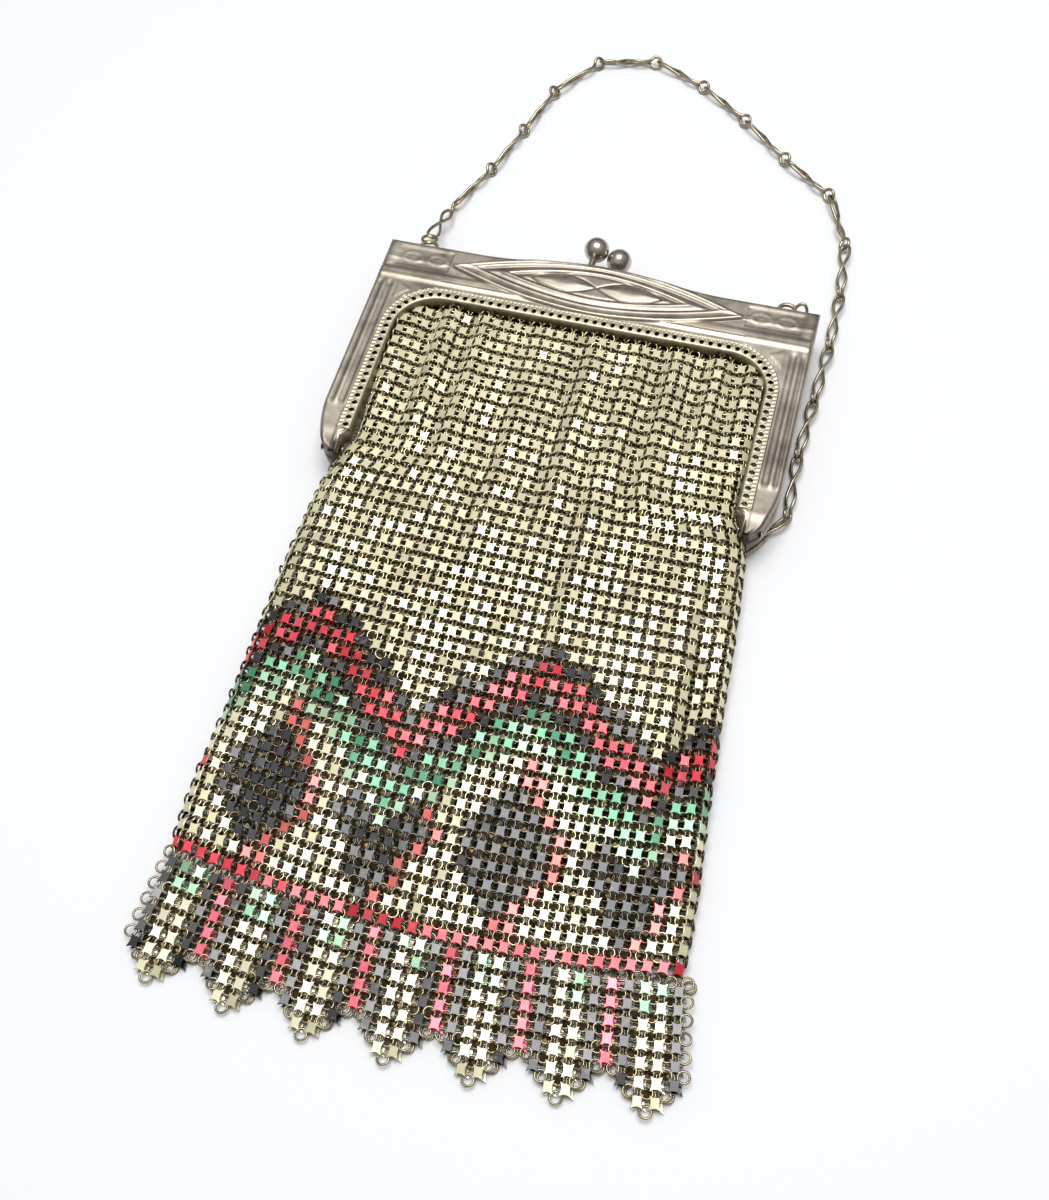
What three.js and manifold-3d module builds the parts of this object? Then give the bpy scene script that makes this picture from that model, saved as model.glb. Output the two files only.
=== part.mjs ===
// Metal mesh purse of the 1920s, closed and lying on its back, with its chain laid round it.
// Millimetres. X runs to the right, Y from the fringe towards the chain, Z up from the table.
// Inside the purse group y = 0 is the line of holes along the top of the frame's window.
import * as THREE from 'three';
import { mergeVertices } from 'three/addons/utils/BufferGeometryUtils.js';
import Module from 'manifold-3d';

const wasm = await Module();
wasm.setup();

// Clearances
const GAP = 0.3; // between neighbouring pieces
const RIVET_CLEARANCE = 0.4; // round the hinge rivets

// Frame: two pressed half-frames, mirrored about the plane where they meet
const FRAME_WIDTH = 113.5;
const FRAME_LIFT = 3.9; // room under the back half, where the chain lies
const HALF_DEPTH = 4.35;
const SHEET = 0.8;
const EDGE_ROUNDING = 0.8;
const BAR_TOP = 16; // from the hole line to the bar's top edge, at its ends
const BAR_BULGE = 2.8; // rise of the top edge over the cartouche
const BULGE_HALF_WIDTH = 33;
const ARM_LENGTH = 52; // from the hole line to the tips
const TAPER_LENGTH = 14;
const TAPER_POWER = 1.8;
const TIP_WIDTH = 3.9;
const TIP_FROM_SIDE = 7.45; // from the frame's side to the inner side of a tip
const WINDOW_WALL_HEIGHT = 2.3; // how far the window's turned edge reaches into the frame

// Rim strip round the window
const HOLES_FROM_SIDE = 7.7; // from the frame's side to the hole line
const HOLE_LINE_RADIUS = 12.2;
const HOLE_LINE_LENGTH = 45; // down each arm
const HOLE_DIAMETER = 1.3;
const HOLES_PER_HALF = 60;
const RIM_INSET = 1.5; // hole line to the window's edge
const RIM_WIDTH = 3.3;
const GROOVE_WIDTH = 0.4;
const RELIEF_CUT = 0.3; // depth of grooves, panels and channels

// Cast relief
const CARTOUCHE_HALF_LENGTH = 38.5;
const CARTOUCHE_HALF_HEIGHT = 8.4;
const CARTOUCHE_CENTRE = 10.3;
const CARTOUCHE_FIELD = 0.7;
const CARTOUCHE_RIDGE = 1.2;
const OVAL_HALF_LENGTH = 8.6;
const OVAL_HALF_HEIGHT = 2.7;
const OVAL_OVERLAP = 0.3; // of each oval's tip past the middle
const MOULDING_HEIGHT = 0.6;
const MOULDING_WIDTH = 3.3;
const MOULDING_CENTRE = 4.7;
const PANEL_WIDTH = 14.4;
const PANEL_HEIGHT = 6.4;
const PANEL_FROM_SIDE = 10.75; // from the frame's side to a panel's centre
const PANEL_CENTRE_Y = 10.9;
const PANEL_OVAL_LENGTH = 5.4;
const PANEL_OVAL_HEIGHT = 3.4;
const PANEL_OVAL_WIRE = 0.6;
const CHANNEL_LENGTH = 40; // of the sunk lines down each arm

// Ridges of the cartouche, as shares of its half-length and half-height
const CARTOUCHE_RIDGES = [
  { outer_length: 1.0, outer_height: 1.0, inner_length: 0.9, inner_height: 0.85 },
  { outer_length: 0.76, outer_height: 0.68, inner_length: 0.66, inner_height: 0.54 },
];
// Sunk lines on the arms, as shares of the arm's width outside the rim strip
const ARM_CHANNELS = [
  { from: 0.12, to: 0.4 },
  { from: 0.56, to: 0.72 },
];

// Clasp
const BALL_DIAMETER = 6;
const BALL_SPACING = 6.7;
const BALL_RISE = 8.4; // from the top edge to a ball's centre
const POST_DIAMETER = 2;
const POST_INSET = 1.5; // of each post from the plane where the halves meet

// Hinge rivets
const RIVET_DIAMETER = 1.4;
const RIVET_HEAD_DIAMETER = 2.4;
const RIVET_HEAD_HEIGHT = 0.5;
const RIVET_FROM_TIP = 2.5;

// Eyelets for the chain, soldered to the back half
const EYELET_FROM_SIDE = 6.95;
const EYELET_DIAMETER = 4.2; // of the wire's centreline
const EYELET_WIRE = 1.0;
const EYELET_RISE = 3.9; // from the bar's top edge to the eyelet's centre
const EYELET_INSET = 0.8; // from the plane where the halves meet

// Mesh bag
const BAG_LENGTH = 152.5; // from the hole line to the foot, at the sides
const BAG_BOW = 5.5; // how far the foot hangs lower in the middle
const BAG_REACH_LEFT = 52;
const BAG_REACH_RIGHT = 58;
const BAG_DEPTH = 9.4; // just below the frame
const MESH_WALL = 1;
const MESH_CLEARANCE = 0.6; // from the window's edge
const SUNK_BELOW_RIM = 1; // mesh below the frame's face, inside the window
const ROLLED_EDGE = 7; // width of each rounded side
const RIPPLE_HEIGHT = 0.5;
const RIPPLES = 6.5;
const CREASE_DEPTH = 1.6;
const CREASE_WIDTH = 3.2;
const BACK_FALL = 1.5; // how fast the back of the bag comes down to the table below the bar
const FRONT_FALL = 0.6; // and how fast its front falls
const POINTS_ACROSS_FRONT = 26;
const POINTS_ACROSS_BACK = 8;

// Sections below the hinges: y as a share of the bag's length, sides as shares of the two reaches
// and front as a share of the depth
const BAG_SECTIONS = [
  { along: 0.345, left: 0.902, right: 0.809, front: 1.04 },
  { along: 0.38, left: 0.956, right: 0.878, front: 1.0 },
  { along: 0.51, left: 0.977, right: 0.914, front: 0.93 },
  { along: 0.66, left: 0.987, right: 0.941, front: 0.82 },
  { along: 0.8, left: 0.992, right: 0.971, front: 0.69 },
  { along: 0.92, left: 1.0, right: 0.991, front: 0.57 },
  { along: 1.0, left: 0.973, right: 1.0, front: 0.48 },
];
// Sections inside the window, as shares of the free height from the hinges to its top edge
const WINDOW_SECTIONS = [0, 0.22, 0.45, 0.65];
const CORNER_SECTIONS = 4;

// Fringe: two layers of pointed tabs
const TABS = 7;
const FRINGE_NOTCH = 20.5; // from the foot to the notches
const FRINGE_TIP = 28.5; // from the foot to the points
const FRINGE_FLARE = 0.07; // how much wider the fringe starts than the foot
const FRINGE_SPREAD = 0.04; // how much it widens from there to the points
const FRINGE_THICKNESS = 1;
const FRINGE_SHIFT = 1.8; // of the back layer, sideways

// Chain
const WIRE_DIAMETER = 0.85;
const WIRE_SIDES = 5;
const LOOP_HALF_WIDTH = 1.4;
const EYE_RADIUS = 1.5;
const STRAND_OFFSET = 0.56; // of each strand from the middle, where they cross
const LINK_BITE = 0.34; // of each link past the joint, so that links touch
const TABLE_CLEARANCE = 0.2; // under the chain
const JUMP_RING_WIDTH = 4;

// Where the links meet, as shares of half the frame's width, with the roll of the link that starts
// there, in degrees: 90 stands its loop on edge. Lift is a share of the room under the frame.
// The last five lie out of sight, behind the right arm.
const CHAIN_JOINTS = [
  { across: -0.867, up: 0.433, roll: 78, lift: 1.08 },
  { across: -0.846, up: 0.728, roll: 70, lift: 0 },
  { across: -0.728, up: 1.024, roll: 76, lift: 0 },
  { across: -0.643, up: 1.325, roll: 78, lift: 0 },
  { across: -0.562, up: 1.626, roll: 80, lift: 0 },
  { across: -0.384, up: 1.884, roll: 72, lift: 0 },
  { across: -0.088, up: 1.942, roll: 70, lift: 0 },
  { across: 0.189, up: 1.803, roll: 76, lift: 0 },
  { across: 0.439, up: 1.605, roll: 80, lift: 0 },
  { across: 0.678, up: 1.380, roll: 72, lift: 0 },
  { across: 0.929, up: 1.188, roll: 58, lift: 0 },
  { across: 1.043, up: 0.881, roll: 24, lift: 0 },
  { across: 1.066, up: 0.569, roll: 12, lift: 0 },
  { across: 1.066, up: 0.254, roll: 10, lift: 0 },
  { across: 1.050, up: -0.062, roll: 14, lift: 0 },
  { across: 1.034, up: -0.374, roll: 22, lift: 0 },
  { across: 1.045, up: -0.689, roll: 45, lift: 0 },
  { across: 0.939, up: -0.983, roll: 45, lift: 0 },
  { across: 0.966, up: -0.657, roll: 45, lift: 0 },
  { across: 0.967, up: -0.331, roll: 45, lift: 0 },
  { across: 0.939, up: -0.005, roll: 45, lift: 0 },
  { across: 0.892, up: 0.319, roll: 45, lift: 0 },
];

const ORIGIN_TO_HOLE_LINE = 80; // from the origin, under the middle of the bag

// Places that follow from the sizes above
const MEETING_HEIGHT = FRAME_LIFT + HALF_DEPTH + GAP / 2;
const FRAME_FACE = FRAME_LIFT + 2 * HALF_DEPTH + GAP;
const HOLE_LINE_HALF_WIDTH = FRAME_WIDTH / 2 - HOLES_FROM_SIDE;
const TIP_INSIDE = FRAME_WIDTH / 2 - TIP_FROM_SIDE;
const PANEL_CENTRE_X = FRAME_WIDTH / 2 - PANEL_FROM_SIDE;
const EYELET_FROM_CENTRE = FRAME_WIDTH / 2 - EYELET_FROM_SIDE;
const WINDOW_HALF_WIDTH = HOLE_LINE_HALF_WIDTH - RIM_INSET;
const WINDOW_RADIUS = HOLE_LINE_RADIUS - RIM_INSET;
const TAPER_START = TAPER_LENGTH - ARM_LENGTH;
const TIP_OUTSIDE = TIP_INSIDE + TIP_WIDTH;
const RIM_END = -HOLE_LINE_LENGTH - HOLE_DIAMETER;

const POINTS_PER_CORNER = 5;
const POINTS_ON_BULGE = 10;
const POINTS_ON_TAPER = 4;

const FINISHES = {
  silver: new THREE.MeshStandardMaterial({ color: 0x8d847f, roughness: 0.42, metalness: 1 }),
  nickel: new THREE.MeshStandardMaterial({ color: 0x6f6a60, roughness: 0.2, metalness: 1 }),
  wire: new THREE.MeshStandardMaterial({ color: 0x84796a, roughness: 0.38, metalness: 1 }),
  enamel: new THREE.MeshStandardMaterial({ color: 0xd3cfa0, roughness: 0.35, metalness: 0.3 }),
  fringe: new THREE.MeshStandardMaterial({ color: 0xc9c6a8, roughness: 0.35, metalness: 0.4 }),
};

// Solids from three.js geometries, and back
function toSolid(geometry) {
  const bare = geometry.clone();
  bare.deleteAttribute('normal');
  bare.deleteAttribute('uv');
  const merged = mergeVertices(bare, 1e-4);
  return new wasm.Manifold(new wasm.Mesh({
    numProp: 3,
    vertProperties: new Float32Array(merged.attributes.position.array),
    triVerts: new Uint32Array(merged.index.array),
  }));
}

function toGeometry(solid) {
  const { vertProperties, triVerts } = solid.getMesh();
  const geometry = new THREE.BufferGeometry();
  geometry.setAttribute('position', new THREE.BufferAttribute(new Float32Array(vertProperties), 3));
  geometry.setIndex(new THREE.BufferAttribute(new Uint32Array(triVerts), 1));
  geometry.computeVertexNormals();
  return geometry;
}

function join(solids) {
  return solids.reduce((whole, solid) => whole.add(solid));
}

function slab(shape, bottom, top) {
  const geometry = new THREE.ExtrudeGeometry(shape, { depth: top - bottom, bevelEnabled: false });
  return toSolid(geometry.translate(0, 0, bottom));
}

function box(width, height, depth, x, y, z) {
  return toSolid(new THREE.BoxGeometry(width, height, depth).translate(x, y, z));
}

function shapeOf(points) {
  return new THREE.Shape(points.map(([x, y]) => new THREE.Vector2(x, y)));
}

function mirrored(points) {
  return points.map(([x, y]) => [-x, y]).reverse();
}

// The window's edge, moved outwards by offset, from the right arm over the top to the left arm
function windowEdge(offset, foot) {
  const half = WINDOW_HALF_WIDTH + offset;
  const radius = WINDOW_RADIUS + offset;
  const top = -RIM_INSET + offset;
  const right = [[half, foot]];
  for (let i = 0; i <= POINTS_PER_CORNER; i += 1) {
    const angle = (i / POINTS_PER_CORNER) * Math.PI / 2;
    right.push([half - radius + radius * Math.cos(angle), top - radius + radius * Math.sin(angle)]);
  }
  return [...right, ...mirrored(right)];
}

function barTop(x) {
  const share = Math.min(Math.abs(x) / BULGE_HALF_WIDTH, 1);
  return BAR_TOP + BAR_BULGE * (1 + Math.cos(Math.PI * share)) / 2;
}

// The outer side of an arm, straight and then drawn in towards its tip
function armSide(y) {
  const share = Math.min(Math.max((TAPER_START - y) / TAPER_LENGTH, 0), 1);
  return FRAME_WIDTH / 2 - (FRAME_WIDTH / 2 - TIP_OUTSIDE) * share ** TAPER_POWER;
}

// Outline of a half-frame, moved inwards by inset, with its tips reaching down to tip
function frameOutline(inset, tip) {
  const outer = [];
  for (let i = POINTS_ON_TAPER; i >= 0; i -= 1) {
    const y = TAPER_START - TAPER_LENGTH * i / POINTS_ON_TAPER;
    outer.push([armSide(y) - inset, i === POINTS_ON_TAPER ? tip : y]);
  }
  outer.push([armSide(0) - inset, BAR_TOP - inset]);
  for (let i = POINTS_ON_BULGE / 2; i > 0; i -= 1) {
    const x = BULGE_HALF_WIDTH * i / (POINTS_ON_BULGE / 2);
    outer.push([x, barTop(x) - inset]);
  }
  const inner = [
    ...windowEdge(inset, RIM_END),
    [-TIP_INSIDE - inset, RIM_END - (TIP_INSIDE - WINDOW_HALF_WIDTH)],
    [-TIP_INSIDE - inset, tip],
  ];
  const rightTip = mirrored(inner.slice(-2));
  const top = [0, barTop(0) - inset];
  return shapeOf([...outer, top, ...mirrored(outer), ...[...rightTip, ...inner].reverse()]);
}

// A pointed oval between two parabolic arcs
function pointedOval(halfLength, halfHeight, x, y) {
  const steps = 7;
  const points = [];
  for (let i = 0; i < steps; i += 1) {
    const share = 2 * i / steps - 1;
    points.push([x + halfLength * share, y - halfHeight * (1 - share * share)]);
  }
  for (let i = 0; i < steps; i += 1) {
    const share = 1 - 2 * i / steps;
    points.push([x + halfLength * share, y + halfHeight * (1 - share * share)]);
  }
  return points;
}

function ringBetween(outer, inner) {
  const shape = shapeOf(outer);
  shape.holes.push(new THREE.Path(inner.map(([x, y]) => new THREE.Vector2(x, y))));
  return shape;
}

function ellipse(length, height, x, y) {
  const steps = 10;
  return Array.from({ length: steps }, (_, i) => {
    const angle = 2 * Math.PI * i / steps;
    return [x + length / 2 * Math.cos(angle), y + height / 2 * Math.sin(angle)];
  });
}

function cartouche() {
  const length = CARTOUCHE_HALF_LENGTH;
  const height = CARTOUCHE_HALF_HEIGHT;
  const floor = HALF_DEPTH - RELIEF_CUT;
  const oval = (l, h, x = 0) => pointedOval(l, h, x, CARTOUCHE_CENTRE);
  const field = slab(shapeOf(oval(length, height)), floor, HALF_DEPTH + CARTOUCHE_FIELD);
  const ridges = CARTOUCHE_RIDGES.map((row) => slab(ringBetween(
    oval(length * row.outer_length, height * row.outer_height),
    oval(length * row.inner_length, height * row.inner_height),
  ), floor, HALF_DEPTH + CARTOUCHE_RIDGE));
  const almonds = [-1, 1].map((side) => slab(
    shapeOf(oval(OVAL_HALF_LENGTH, OVAL_HALF_HEIGHT, side * (OVAL_HALF_LENGTH - OVAL_OVERLAP))),
    floor,
    HALF_DEPTH + CARTOUCHE_RIDGE,
  ));
  return join([field, ...ridges, ...almonds]);
}

function moulding() {
  const half = MOULDING_WIDTH / 2;
  const length = FRAME_WIDTH - 2 * EDGE_ROUNDING;
  const section = shapeOf([
    [-half, -RELIEF_CUT],
    [half, -RELIEF_CUT],
    [half, 0],
    [half / 2, MOULDING_HEIGHT],
    [-half / 2, MOULDING_HEIGHT],
    [-half, 0],
  ]);
  const geometry = new THREE.ExtrudeGeometry(section, { depth: length, bevelEnabled: false });
  geometry.translate(0, 0, -length / 2).rotateX(Math.PI / 2).rotateZ(Math.PI / 2);
  return toSolid(geometry.translate(0, MOULDING_CENTRE, HALF_DEPTH));
}

// Sunk panels at the bar's ends and sunk lines down the arms
function sunkRelief() {
  const armInside = WINDOW_HALF_WIDTH + RIM_WIDTH + GROOVE_WIDTH;
  const armWidth = FRAME_WIDTH / 2 - EDGE_ROUNDING - armInside;
  const channelTop = MOULDING_CENTRE - MOULDING_WIDTH / 2 - GROOVE_WIDTH;
  const cuts = [];
  for (const side of [-1, 1]) {
    cuts.push(box(PANEL_WIDTH, PANEL_HEIGHT, 2 * RELIEF_CUT, side * PANEL_CENTRE_X, PANEL_CENTRE_Y, HALF_DEPTH));
    for (const { from, to } of ARM_CHANNELS) {
      const x = side * (armInside + armWidth * (from + to) / 2);
      const y = channelTop - CHANNEL_LENGTH / 2;
      cuts.push(box(armWidth * (to - from), CHANNEL_LENGTH, 2 * RELIEF_CUT, x, y, HALF_DEPTH));
    }
  }
  const outer = windowEdge(RIM_WIDTH + GROOVE_WIDTH, RIM_END);
  const inner = windowEdge(RIM_WIDTH, RIM_END).reverse();
  const groove = shapeOf([...outer, ...inner]);
  cuts.push(slab(groove, HALF_DEPTH - RELIEF_CUT, HALF_DEPTH + 1));
  return join(cuts);
}

function panelOvals() {
  const rings = [];
  for (const side of [-1, 1]) {
    for (const place of [-1, 1]) {
      const x = side * PANEL_CENTRE_X + place * PANEL_WIDTH / 4;
      rings.push(slab(ringBetween(
        ellipse(PANEL_OVAL_LENGTH, PANEL_OVAL_HEIGHT, x, PANEL_CENTRE_Y),
        ellipse(PANEL_OVAL_LENGTH - 2 * PANEL_OVAL_WIRE, PANEL_OVAL_HEIGHT - 2 * PANEL_OVAL_WIRE, x, PANEL_CENTRE_Y),
      ), HALF_DEPTH - RELIEF_CUT - SHEET / 4, HALF_DEPTH));
    }
  }
  return join(rings);
}

// A place on the hole line, by its distance from the foot of the left arm
function onHoleLine(distance) {
  const side = HOLE_LINE_LENGTH - HOLE_LINE_RADIUS;
  const arc = HOLE_LINE_RADIUS * Math.PI / 2;
  const top = 2 * (HOLE_LINE_HALF_WIDTH - HOLE_LINE_RADIUS);
  const whole = 2 * (side + arc) + top;
  if (distance > whole / 2) {
    const [x, y] = onHoleLine(whole - distance);
    return [-x, y];
  }
  if (distance < side) {
    return [-HOLE_LINE_HALF_WIDTH, distance - HOLE_LINE_LENGTH];
  }
  if (distance < side + arc) {
    const angle = (distance - side) / HOLE_LINE_RADIUS;
    return [
      HOLE_LINE_RADIUS - HOLE_LINE_HALF_WIDTH - HOLE_LINE_RADIUS * Math.cos(angle),
      HOLE_LINE_RADIUS * (Math.sin(angle) - 1),
    ];
  }
  return [HOLE_LINE_RADIUS - HOLE_LINE_HALF_WIDTH + (distance - side - arc), 0];
}

function rimHoles() {
  const whole = 2 * (HOLE_LINE_LENGTH - HOLE_LINE_RADIUS) + HOLE_LINE_RADIUS * Math.PI
    + 2 * (HOLE_LINE_HALF_WIDTH - HOLE_LINE_RADIUS);
  const cuts = Array.from({ length: HOLES_PER_HALF }, (_, i) => {
    const [x, y] = onHoleLine(whole * i / (HOLES_PER_HALF - 1));
    const hole = new THREE.CylinderGeometry(HOLE_DIAMETER / 2, HOLE_DIAMETER / 2, 4 * SHEET, 5);
    return toSolid(hole.rotateX(Math.PI / 2).translate(x, y, HALF_DEPTH));
  });
  return join(cuts);
}

// One half-frame: its face at z = HALF_DEPTH and open at z = 0
function halfFrame() {
  const shell = new THREE.ExtrudeGeometry(frameOutline(0, -ARM_LENGTH), {
    depth: HALF_DEPTH,
    bevelThickness: EDGE_ROUNDING,
    bevelSize: EDGE_ROUNDING,
    bevelOffset: -EDGE_ROUNDING,
    bevelSegments: 1,
  });
  const wide = 2 * FRAME_WIDTH;
  const below = box(wide, wide, 2 * HALF_DEPTH, 0, 0, -HALF_DEPTH);
  const hollow = slab(frameOutline(SHEET, -ARM_LENGTH - 1), -1, HALF_DEPTH - SHEET);
  const windowFoot = RIM_END + WINDOW_RADIUS / 2;
  const mouth = slab(shapeOf(windowEdge(SHEET + GAP / 2, windowFoot)), -1, HALF_DEPTH - WINDOW_WALL_HEIGHT);
  const rivetHole = new THREE.CylinderGeometry(
    RIVET_DIAMETER / 2 + RIVET_CLEARANCE,
    RIVET_DIAMETER / 2 + RIVET_CLEARANCE,
    FRAME_WIDTH * 1.1,
    8,
  ).rotateZ(Math.PI / 2).translate(0, RIVET_FROM_TIP - ARM_LENGTH, -GAP / 2);
  return toSolid(shell.translate(0, 0, -EDGE_ROUNDING))
    .subtract(below)
    .subtract(hollow)
    .subtract(mouth)
    .subtract(toSolid(rivetHole))
    .subtract(sunkRelief())
    .add(panelOvals())
    .add(moulding())
    .add(cartouche())
    .subtract(rimHoles());
}

function eyelet(x) {
  const ring = new THREE.TorusGeometry(EYELET_DIAMETER / 2, EYELET_WIRE / 2, 5, 11);
  const stemLength = EYELET_RISE - EYELET_DIAMETER / 2 + SHEET / 2;
  const stem = new THREE.CylinderGeometry(EYELET_WIRE * 0.6, EYELET_WIRE * 0.75, stemLength, 7);
  return toSolid(ring.translate(x, BAR_TOP + EYELET_RISE, EYELET_INSET))
    .add(toSolid(stem.translate(x, BAR_TOP - SHEET / 2 + stemLength / 2, EYELET_INSET)));
}

function claspBall(side) {
  const x = side * BALL_SPACING / 2;
  const foot = barTop(x) + GAP;
  const centre = barTop(0) + BALL_RISE;
  const post = new THREE.CylinderGeometry(POST_DIAMETER / 2, POST_DIAMETER / 2, centre - foot, 8);
  const collar = new THREE.CylinderGeometry(POST_DIAMETER * 0.6, POST_DIAMETER * 0.8, POST_DIAMETER / 4, 10);
  const ball = new THREE.SphereGeometry(BALL_DIAMETER / 2, 12, 9);
  return toSolid(ball.translate(x, centre, 0))
    .add(toSolid(post.translate(x, (centre + foot) / 2, side * -POST_INSET)))
    .add(toSolid(collar.translate(x, foot + POST_DIAMETER / 8, side * -POST_INSET)));
}

// A rivet through both tips of the right side, from the window outwards
function rivet() {
  const head = RIVET_HEAD_DIAMETER / 2;
  const shaft = RIVET_DIAMETER / 2;
  const inside = TIP_INSIDE - GAP;
  const outside = armSide(RIVET_FROM_TIP + head - ARM_LENGTH) + GAP;
  const profile = [
    [0, inside - RIVET_HEAD_HEIGHT],
    [head * 0.7, inside - RIVET_HEAD_HEIGHT * 0.7],
    [head, inside],
    [shaft, inside],
    [shaft, outside],
    [head, outside],
    [head * 0.7, outside + RIVET_HEAD_HEIGHT * 0.7],
    [0, outside + RIVET_HEAD_HEIGHT],
  ].map(([x, y]) => new THREE.Vector2(x, y));
  return new THREE.LatheGeometry(profile, 10).rotateZ(-Math.PI / 2);
}

function blend(rows, key, along) {
  const next = rows.findIndex((row) => row.along >= along);
  if (next <= 0) {
    return rows[Math.max(next, 0)][key];
  }
  const [a, b] = [rows[next - 1], rows[next]];
  return a[key] + (b[key] - a[key]) * (along - a.along) / (b.along - a.along);
}

// The bag's cross-section at a distance down from the hole line: sides, back and front
function bagSection(down) {
  const first = BAG_SECTIONS[0].along * BAG_LENGTH;
  const insideWindow = WINDOW_HALF_WIDTH - MESH_CLEARANCE;
  if (down >= first) {
    const along = Math.min(down / BAG_LENGTH, 1);
    return {
      left: -BAG_REACH_LEFT * blend(BAG_SECTIONS, 'left', along),
      right: BAG_REACH_RIGHT * blend(BAG_SECTIONS, 'right', along),
      back: 0,
      front: BAG_DEPTH * blend(BAG_SECTIONS, 'front', along),
    };
  }
  const radius = WINDOW_RADIUS - MESH_CLEARANCE;
  const intoCorner = Math.max(RIM_INSET + MESH_CLEARANCE + radius - down, 0);
  const half = insideWindow - radius + Math.sqrt(Math.max(radius * radius - intoCorner * intoCorner, 0));
  const up = 1 - down / first;
  const topBack = FRAME_LIFT + SUNK_BELOW_RIM;
  const topFront = FRAME_FACE - SUNK_BELOW_RIM;
  const lowFront = BAG_DEPTH * BAG_SECTIONS[0].front;
  return {
    left: -half,
    right: half,
    back: topBack * up ** BACK_FALL,
    front: lowFront + (topFront - lowFront) * up ** FRONT_FALL,
  };
}

// Shallow ripples under the frame, and the crease down the right side
function foldHeight(x, down) {
  const along = down / BAG_LENGTH;
  const fade = Math.max(1 - along, 0) ** 1.5;
  const ripple = RIPPLE_HEIGHT * fade * Math.cos(2 * Math.PI * RIPPLES * x / (2 * WINDOW_HALF_WIDTH));
  const middle = BAG_REACH_RIGHT * (0.76 + 0.12 * along);
  const reach = Math.exp(-(((along - 0.62) / 0.2) ** 2));
  const crease = CREASE_DEPTH * reach * Math.exp(-(((x - middle) / CREASE_WIDTH) ** 2));
  return ripple - RIPPLE_HEIGHT * fade - crease;
}

// One ring of points round the bag, moved inwards by wall
function bagRing(down, wall) {
  const { left, right, back, front } = bagSection(down);
  const half = (right - left) / 2 - wall;
  const middle = (left + right) / 2;
  const points = [];
  const add = (share, face) => {
    const x = middle + half * share;
    const edge = Math.max((Math.abs(share) - 1) * half / ROLLED_EDGE + 1, 0);
    const round = Math.sqrt(Math.max(1 - edge * edge, 0));
    const deep = (front - back) / 2 - wall;
    const fold = face > 0 ? foldHeight(x, down) * round : 0;
    const sag = BAG_BOW * (down / BAG_LENGTH) ** 2 * (1 - share * share);
    points.push([x, -down - sag, (front + back) / 2 + face * deep * round + fold]);
  };
  const spread = (i, count) => {
    const share = 2 * i / count - 1;
    return Math.sign(share) * (1 - (1 - Math.abs(share)) ** 1.15);
  };
  for (let i = 0; i < POINTS_ACROSS_FRONT; i += 1) {
    add(spread(i, POINTS_ACROSS_FRONT), 1);
  }
  for (let i = 0; i < POINTS_ACROSS_BACK; i += 1) {
    add(-spread(i, POINTS_ACROSS_BACK), -1);
  }
  return points;
}

function meshBag() {
  const first = BAG_SECTIONS[0].along * BAG_LENGTH;
  const top = RIM_INSET + MESH_CLEARANCE;
  const corner = top + WINDOW_RADIUS - MESH_CLEARANCE;
  const downs = [];
  for (let i = 0; i < CORNER_SECTIONS; i += 1) {
    downs.push(corner - (corner - top) * Math.cos(Math.PI / 2 * i / CORNER_SECTIONS));
  }
  WINDOW_SECTIONS.slice().reverse().forEach((share) => downs.push(first - share * (first - corner)));
  BAG_SECTIONS.slice(1).forEach((row) => downs.push(row.along * BAG_LENGTH));
  const outer = downs.map((down) => bagRing(down, 0));
  const innerDowns = downs.filter((_, i) => i === 0 || (i % 2 === 1 && i < downs.length - 1));
  const inner = [...innerDowns, BAG_LENGTH - MESH_WALL * 2].map((down) => bagRing(down, MESH_WALL));
  const rings = [...outer.slice().reverse(), ...inner];
  const acrossFront = POINTS_ACROSS_FRONT;
  const acrossBack = POINTS_ACROSS_BACK;
  const count = acrossFront + acrossBack;
  const indices = [];
  for (let r = 0; r + 1 < rings.length; r += 1) {
    for (let i = 0; i < count; i += 1) {
      const a = r * count + i;
      const b = r * count + (i + 1) % count;
      indices.push(a, b, b + count, a, b + count, a + count);
    }
  }
  const close = (start, flip) => {
    const front = Array.from({ length: acrossFront + 1 }, (_, i) => start + i % count);
    const back = Array.from({ length: acrossBack + 1 }, (_, i) => start + (count - i) % count);
    const shares = (list) => list.map((_, i) => i / (list.length - 1));
    const [sf, sb] = [shares(front), shares(back)];
    let f = 0;
    let b = 0;
    while (f < acrossFront || b < acrossBack) {
      const stepFront = b === acrossBack || (f < acrossFront && sf[f + 1] <= sb[b + 1]);
      const third = stepFront ? front[f + 1] : back[b + 1];
      const triangle = [front[f], back[b], third];
      if (new Set(triangle).size === 3) {
        indices.push(...(flip ? [triangle[0], triangle[2], triangle[1]] : triangle));
      }
      if (stepFront) {
        f += 1;
      } else {
        b += 1;
      }
    }
  };
  close(0, false);
  close((rings.length - 1) * count, true);
  const geometry = new THREE.BufferGeometry();
  const positions = new Float32Array(rings.flat(2));
  geometry.setAttribute('position', new THREE.BufferAttribute(positions, 3));
  geometry.setIndex(indices);
  geometry.computeVertexNormals();
  return geometry;
}

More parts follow.
